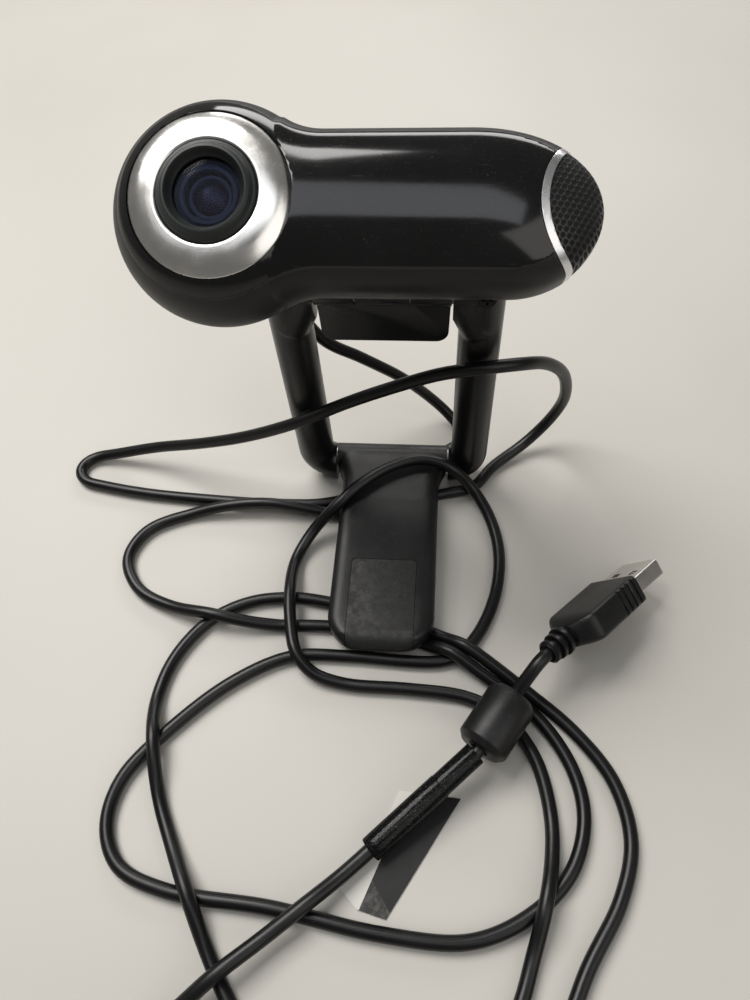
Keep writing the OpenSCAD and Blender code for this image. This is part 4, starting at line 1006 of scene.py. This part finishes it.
def front_lip():
    """Plate that hangs from a barrel on the axle, cut away at its middle for the head's knuckle."""
    half, reach = LIP_W / 2, LIP_W / 2 - 0.4 - LIP_CORNER
    plate = [(half, 0), *arc(reach, LIP_CORNER - LIP_DROP, LIP_CORNER, 0, -90, 12),
             *arc(-reach, LIP_CORNER - LIP_DROP, LIP_CORNER, -90, -180, 12), (-half, 0)]
    lip = prism(plate, -LIP_T / 2, LIP_T / 2, AT_HINGE, "xz")
    combine(lip, rod(LIP_BARREL_R, -half, half, AT_HINGE, "x"), "UNION")
    combine(lip, rod(KNUCKLE_ROOM_R, -KNUCKLE_ROOM_HALF, KNUCKLE_ROOM_HALF, AT_HINGE, "x"))
    combine(lip, rod(AXLE_HOLE_R, -20, 20, AT_HINGE, "x", seg=40))
    bevel(lip, 0.5, 3, 35)
    dress(lip, "lip_bracket_moulded", LEG_FINISH)
    finish(lip, "front_lip", "lip_bracket", slot="satin_black", angle=30)
    x, back, low = half - LINER_EDGE, LIP_T / 2, 1.2 - LIP_DROP
    liner = block(-x, x, back, back + LINER_T, low, LINER_TOP, AT_HINGE)
    bevel(liner, 0.3, 2)
    dress(liner, "lip_liner_rubber", RUBBER)
    finish(liner, "front_lip", "lip_liner", slot="rubber")


front_lip()

# ---------- foot ----------


def rounded(distance, radius):
    """How far an edge of this radius still lies inside, at a distance from the face that it starts on."""
    across = max(0.0, radius - distance)
    return radius - sqrt(max(0.0, radius ** 2 - across ** 2))


def foot_half(y):
    """Half width of the foot at y: rounded nose corners, and a flare towards the hinge."""
    flare = min(max((y + 10) / 8, 0), 1)
    return FOOT_W / 2 - rounded(FOOT_LEN + y, FOOT_R) + FOOT_FLARE * flare * flare * (3 - 2 * flare)


def foot_top(y):
    """Height of the foot's top at y, rising towards the hinge."""
    return TIP_TOP + (HEEL_TOP - TIP_TOP) * min(1, max(0, (y + 16) / 14)) - rounded(FOOT_LEN + y, 3)


def foot_ring(y):
    """The foot's outline across: a soft slope up to a flat top, and rounded lower edges."""
    half, top, low = max(foot_half(y), 0.3), foot_top(y), FOOT_LOW + rounded(FOOT_LEN + y, 1.5)
    mid = low + (top - low) * 0.45
    flat = min(FOOT_TOP_W / 2, half * 0.68)
    corner = min(0.9, half * 0.4)
    slope = [(flat + (half - flat) * sin(a) ** 0.8, mid + (top - mid) * cos(a) ** 0.75)
             for a in quarter_turn(13)]
    right = slope + arc(half - corner, low + corner, corner, 0, -90, 6)[1:]
    return [(x, y, z) for x, z in right + [(-x, z) for x, z in reversed(right)]]


def foot_body(name, sink=0.0):
    """The foot's outside, or a copy sunk back and down by some millimetres."""
    nose = [0.02 - FOOT_LEN + FOOT_R * (1 - cos(a)) for a in quarter_turn(22)]
    body = make(name, *rings_mesh([foot_ring(y) for y in [*nose, *np.linspace(-50, -0.2, 54)]]), ROW)
    body.matrix_world = Matrix.Translation((0, sink * MM, -sink * MM))
    bpy.context.view_layer.update()
    return body


def pad_prism(grow, low):
    """Block above the pad's outline: it has two rounded corners at the back and runs out past the nose."""
    half = PAD_W / 2 + grow
    x, y, past_nose = half - PAD_CORNER, PAD_BACK + grow - PAD_CORNER, -FOOT_LEN - 9
    corners = [*arc(x, y, PAD_CORNER, 0, 90, 6), *arc(-x, y, PAD_CORNER, 90, 180, 6)]
    return prism([*corners, (-half, past_nose), (half, past_nose)], low, 30, ROW)


def foot_paddle():
    """The foot's moulded body, with its hinge barrel, its pin holes and the pad's pocket."""
    paddle = foot_body("foot_paddle_moulded")
    combine(paddle, rod(FOOT_BARREL_R, -FOOT_BARREL_HALF, FOOT_BARREL_HALF, AT_PINS, "x"), "UNION")
    combine(paddle, rod(PIN_HOLE_R + 0.01, -30, -PIN_IN, AT_PINS, "x", seg=32))
    combine(paddle, rod(PIN_HOLE_R + 0.01, PIN_IN, 30, AT_PINS, "x", seg=32))
    groove = pad_prism(PAD_ROOM, FOOT_LOW + 1.0)
    combine(groove, foot_body("sunk", 0.55))
    combine(paddle, groove)
    dress(paddle, "foot_paddle_moulded", FOOT_FINISH)
    finish(paddle, "foot", "foot_paddle", slot="satin_black", angle=32)


def foot_pad():
    """Rubber pad set flush into the foot's top and down its nose."""
    pad = pad_prism(0, FOOT_LOW + 1.05)
    combine(pad, foot_body("outside"), "INTERSECT")
    combine(pad, foot_body("sunk", 0.5))
    bevel(pad, 0.12, 2, 50)
    dress(pad, "foot_pad_speckled", PAD)
    finish(pad, "foot", "foot_pad", slot="pad_rubber", angle=32)


foot_paddle()
foot_pad()

# ---------- on the lead ----------


def ferrite_bead():
    """Moulded case round the cord, with rounded shoulders."""
    profile = [(2.2, 0), (4.4, 0), (4.9, 0.12), (BEAD_R - 0.15, 1.3), (BEAD_R, 1.7), (BEAD_R, BEAD_LEN - 1.7),
               (BEAD_R - 0.15, BEAD_LEN - 1.3), (4.9, BEAD_LEN - 0.12), (4.4, BEAD_LEN), (2.2, BEAD_LEN)]
    bead = lathe("ferrite_case_shell", profile, BEAD, MOULDED, "x", 128)
    return finish(bead, "stand_legs", "ferrite_case", slot="satin_black", angle=30)


def cord_sleeve():
    """Clear film rolled round the cord, a layer thinner near the bead."""
    inside, thin, start, step, end = 2.3, SLEEVE_R - 0.14, -SLEEVE_LEN, -12, -1.1
    sleeve = lathe("cord_sleeve_clear", [
        (inside, start), (SLEEVE_R - 0.15, start), (SLEEVE_R - 0.02, start + 0.2), (SLEEVE_R, start + 2),
        (SLEEVE_R, step - 0.2), (SLEEVE_R - 0.06, step), (thin, step + 0.1), (thin, end - 0.2), (2.7, end),
        (inside, end),
    ], SLEEVE, CLEAR, "x", 64)
    return finish(sleeve, "stand_legs", "cord_sleeve", slot="sleeve_clear")


def cord_label():
    """Paper flag on the desk below the sleeve."""
    outline = [(7, -94), (21.5, -95), (16.5, -103), (5.5, -121), (-1, -119.5), (-7.5, -113.5), (1.5, -108)]
    label = prism(outline, 0.02, 0.4, ROW, "xy", "cord_label_bare", PAPER)
    return finish(label, "stand_legs", "cord_label", slot="paper")


def plug_grip():
    """Moulded grip that widens from the relief, with four notches on each side and the shell's pocket."""
    front = RELIEF + GRIP

    def ring(x):
        swell = sin(min(1.0, (x - RELIEF) / 5.0) * pi / 2)
        width, thick = GRIP_W / 2 * (1 + swell), GRIP_T - 1.6 + 1.6 * swell
        return [(x, y, z) for y, z in round_box(width, thick, 1.3 + 1.2 * (1 - swell), 8)]

    stations = [RELIEF, *np.linspace(RELIEF + 0.05, RELIEF + 5.2, 12), *np.linspace(RELIEF + 5.6, front, 30)]
    grip = make("plug_grip_moulded", *rings_mesh([ring(x) for x in stations]), PLUG)
    depth, width, spacing = 0.5, 0.8, 2
    for k in range(4):
        start, edge = front - 2.2 - spacing * k, GRIP_W / 2
        for low, high in ((-edge - 0.6, depth - edge), (edge - depth, edge + 0.6)):
            combine(grip, block(start, start + width, low, high, -6, 6, PLUG))
    half_w, half_t = PLUG_W / 2, PLUG_T / 2
    combine(grip, block(front - SHELL_IN, front + 1, -half_w, half_w, -half_t, half_t, PLUG))
    bevel(grip, 0.3, 2, 50)
    dress(grip, "plug_grip_moulded", MOULDED)
    return finish(grip, "stand_legs", "plug_overmould", slot="satin_black", angle=35)


def plug_relief():
    """Three ribs between the cord and the grip."""
    bore = 1.7
    profile = [(bore, 0.1), (2.4, 0.1), (2.55, 0.3)]
    for k in range(3):
        x, rib = 0.5 + 2.3 * k, 2.95 + 0.35 * k
        profile += [(rib - 0.15, x), (rib, x + 0.15), (rib, x + 1.0), (rib - 0.15, x + 1.15),
                    (rib - 0.7, x + 1.25), (rib - 0.7, x + 2.2)]
    profile += [(2.85, RELIEF), (bore, RELIEF)]
    relief = lathe("plug_relief_ribbed", profile, PLUG, CORD, "x", 64)
    return finish(relief, "stand_legs", "plug_strain_relief", slot="cord_black")


def plug_shell():
    """Nickel shell, open at its end, with two windows through its broad sides."""
    back, front = RELIEF + GRIP - SHELL_IN, RELIEF + GRIP + SHELL_OUT
    inner_w, inner_t = PLUG_W - 2 * PLUG_WALL, PLUG_T - 2 * PLUG_WALL
    nickel = prism(round_box(PLUG_W, PLUG_T, 0.5, 5), back, front, PLUG, "yz")
    combine(nickel, prism(round_box(inner_w, inner_t, 0.3, 4), back + PLUG_WALL, front + 2, PLUG, "yz"))
    for middle in (-2.9, 2.9):
        combine(nickel, block(front - 7.6, front - 5.6, middle - 1.1, middle + 1.1, -10, 10, PLUG))
    bevel(nickel, 0.06, 1, 50)
    dress(nickel, "plug_shell_nickel", NICKEL)
    return finish(nickel, "stand_legs", "plug_shell", slot="plug_metal", angle=35)


bead = ferrite_bead()
sleeve = cord_sleeve()
label = cord_label()
grip = plug_grip()
relief = plug_relief()
metal_shell = plug_shell()

# ---------- CAD nodes that are shown as they are ----------

CARRIED = {
    "autofocus_coil": CHIP, "ir_filter": GLASS, "image_sensor": CHIP, "camera_board": BOARD,
    "main_board": BOARD, "board_chips": CHIP, "flex_cable": AMBER, "inner_lead": CORD,
    "board_screws": STEEL, "housing_screws": BLACK_STEEL, "microphone": STEEL,
    "microphone_grommet": RUBBER, "tilt_knuckle": LEG_FINISH, "axle": STEEL, "leg_screws": BLACK_STEEL,
    "friction_washers": STEEL, "foot_hinge_pins": STEEL, "foot_washers": STEEL, "ferrite_core": FERRITE,
    "plug_tongue": WHITE, "plug_contacts": GOLD,
}
for name, material in CARRIED.items():
    node = frame["nodes"][name]
    node.data.materials.clear()
    node.data.materials.append(material)
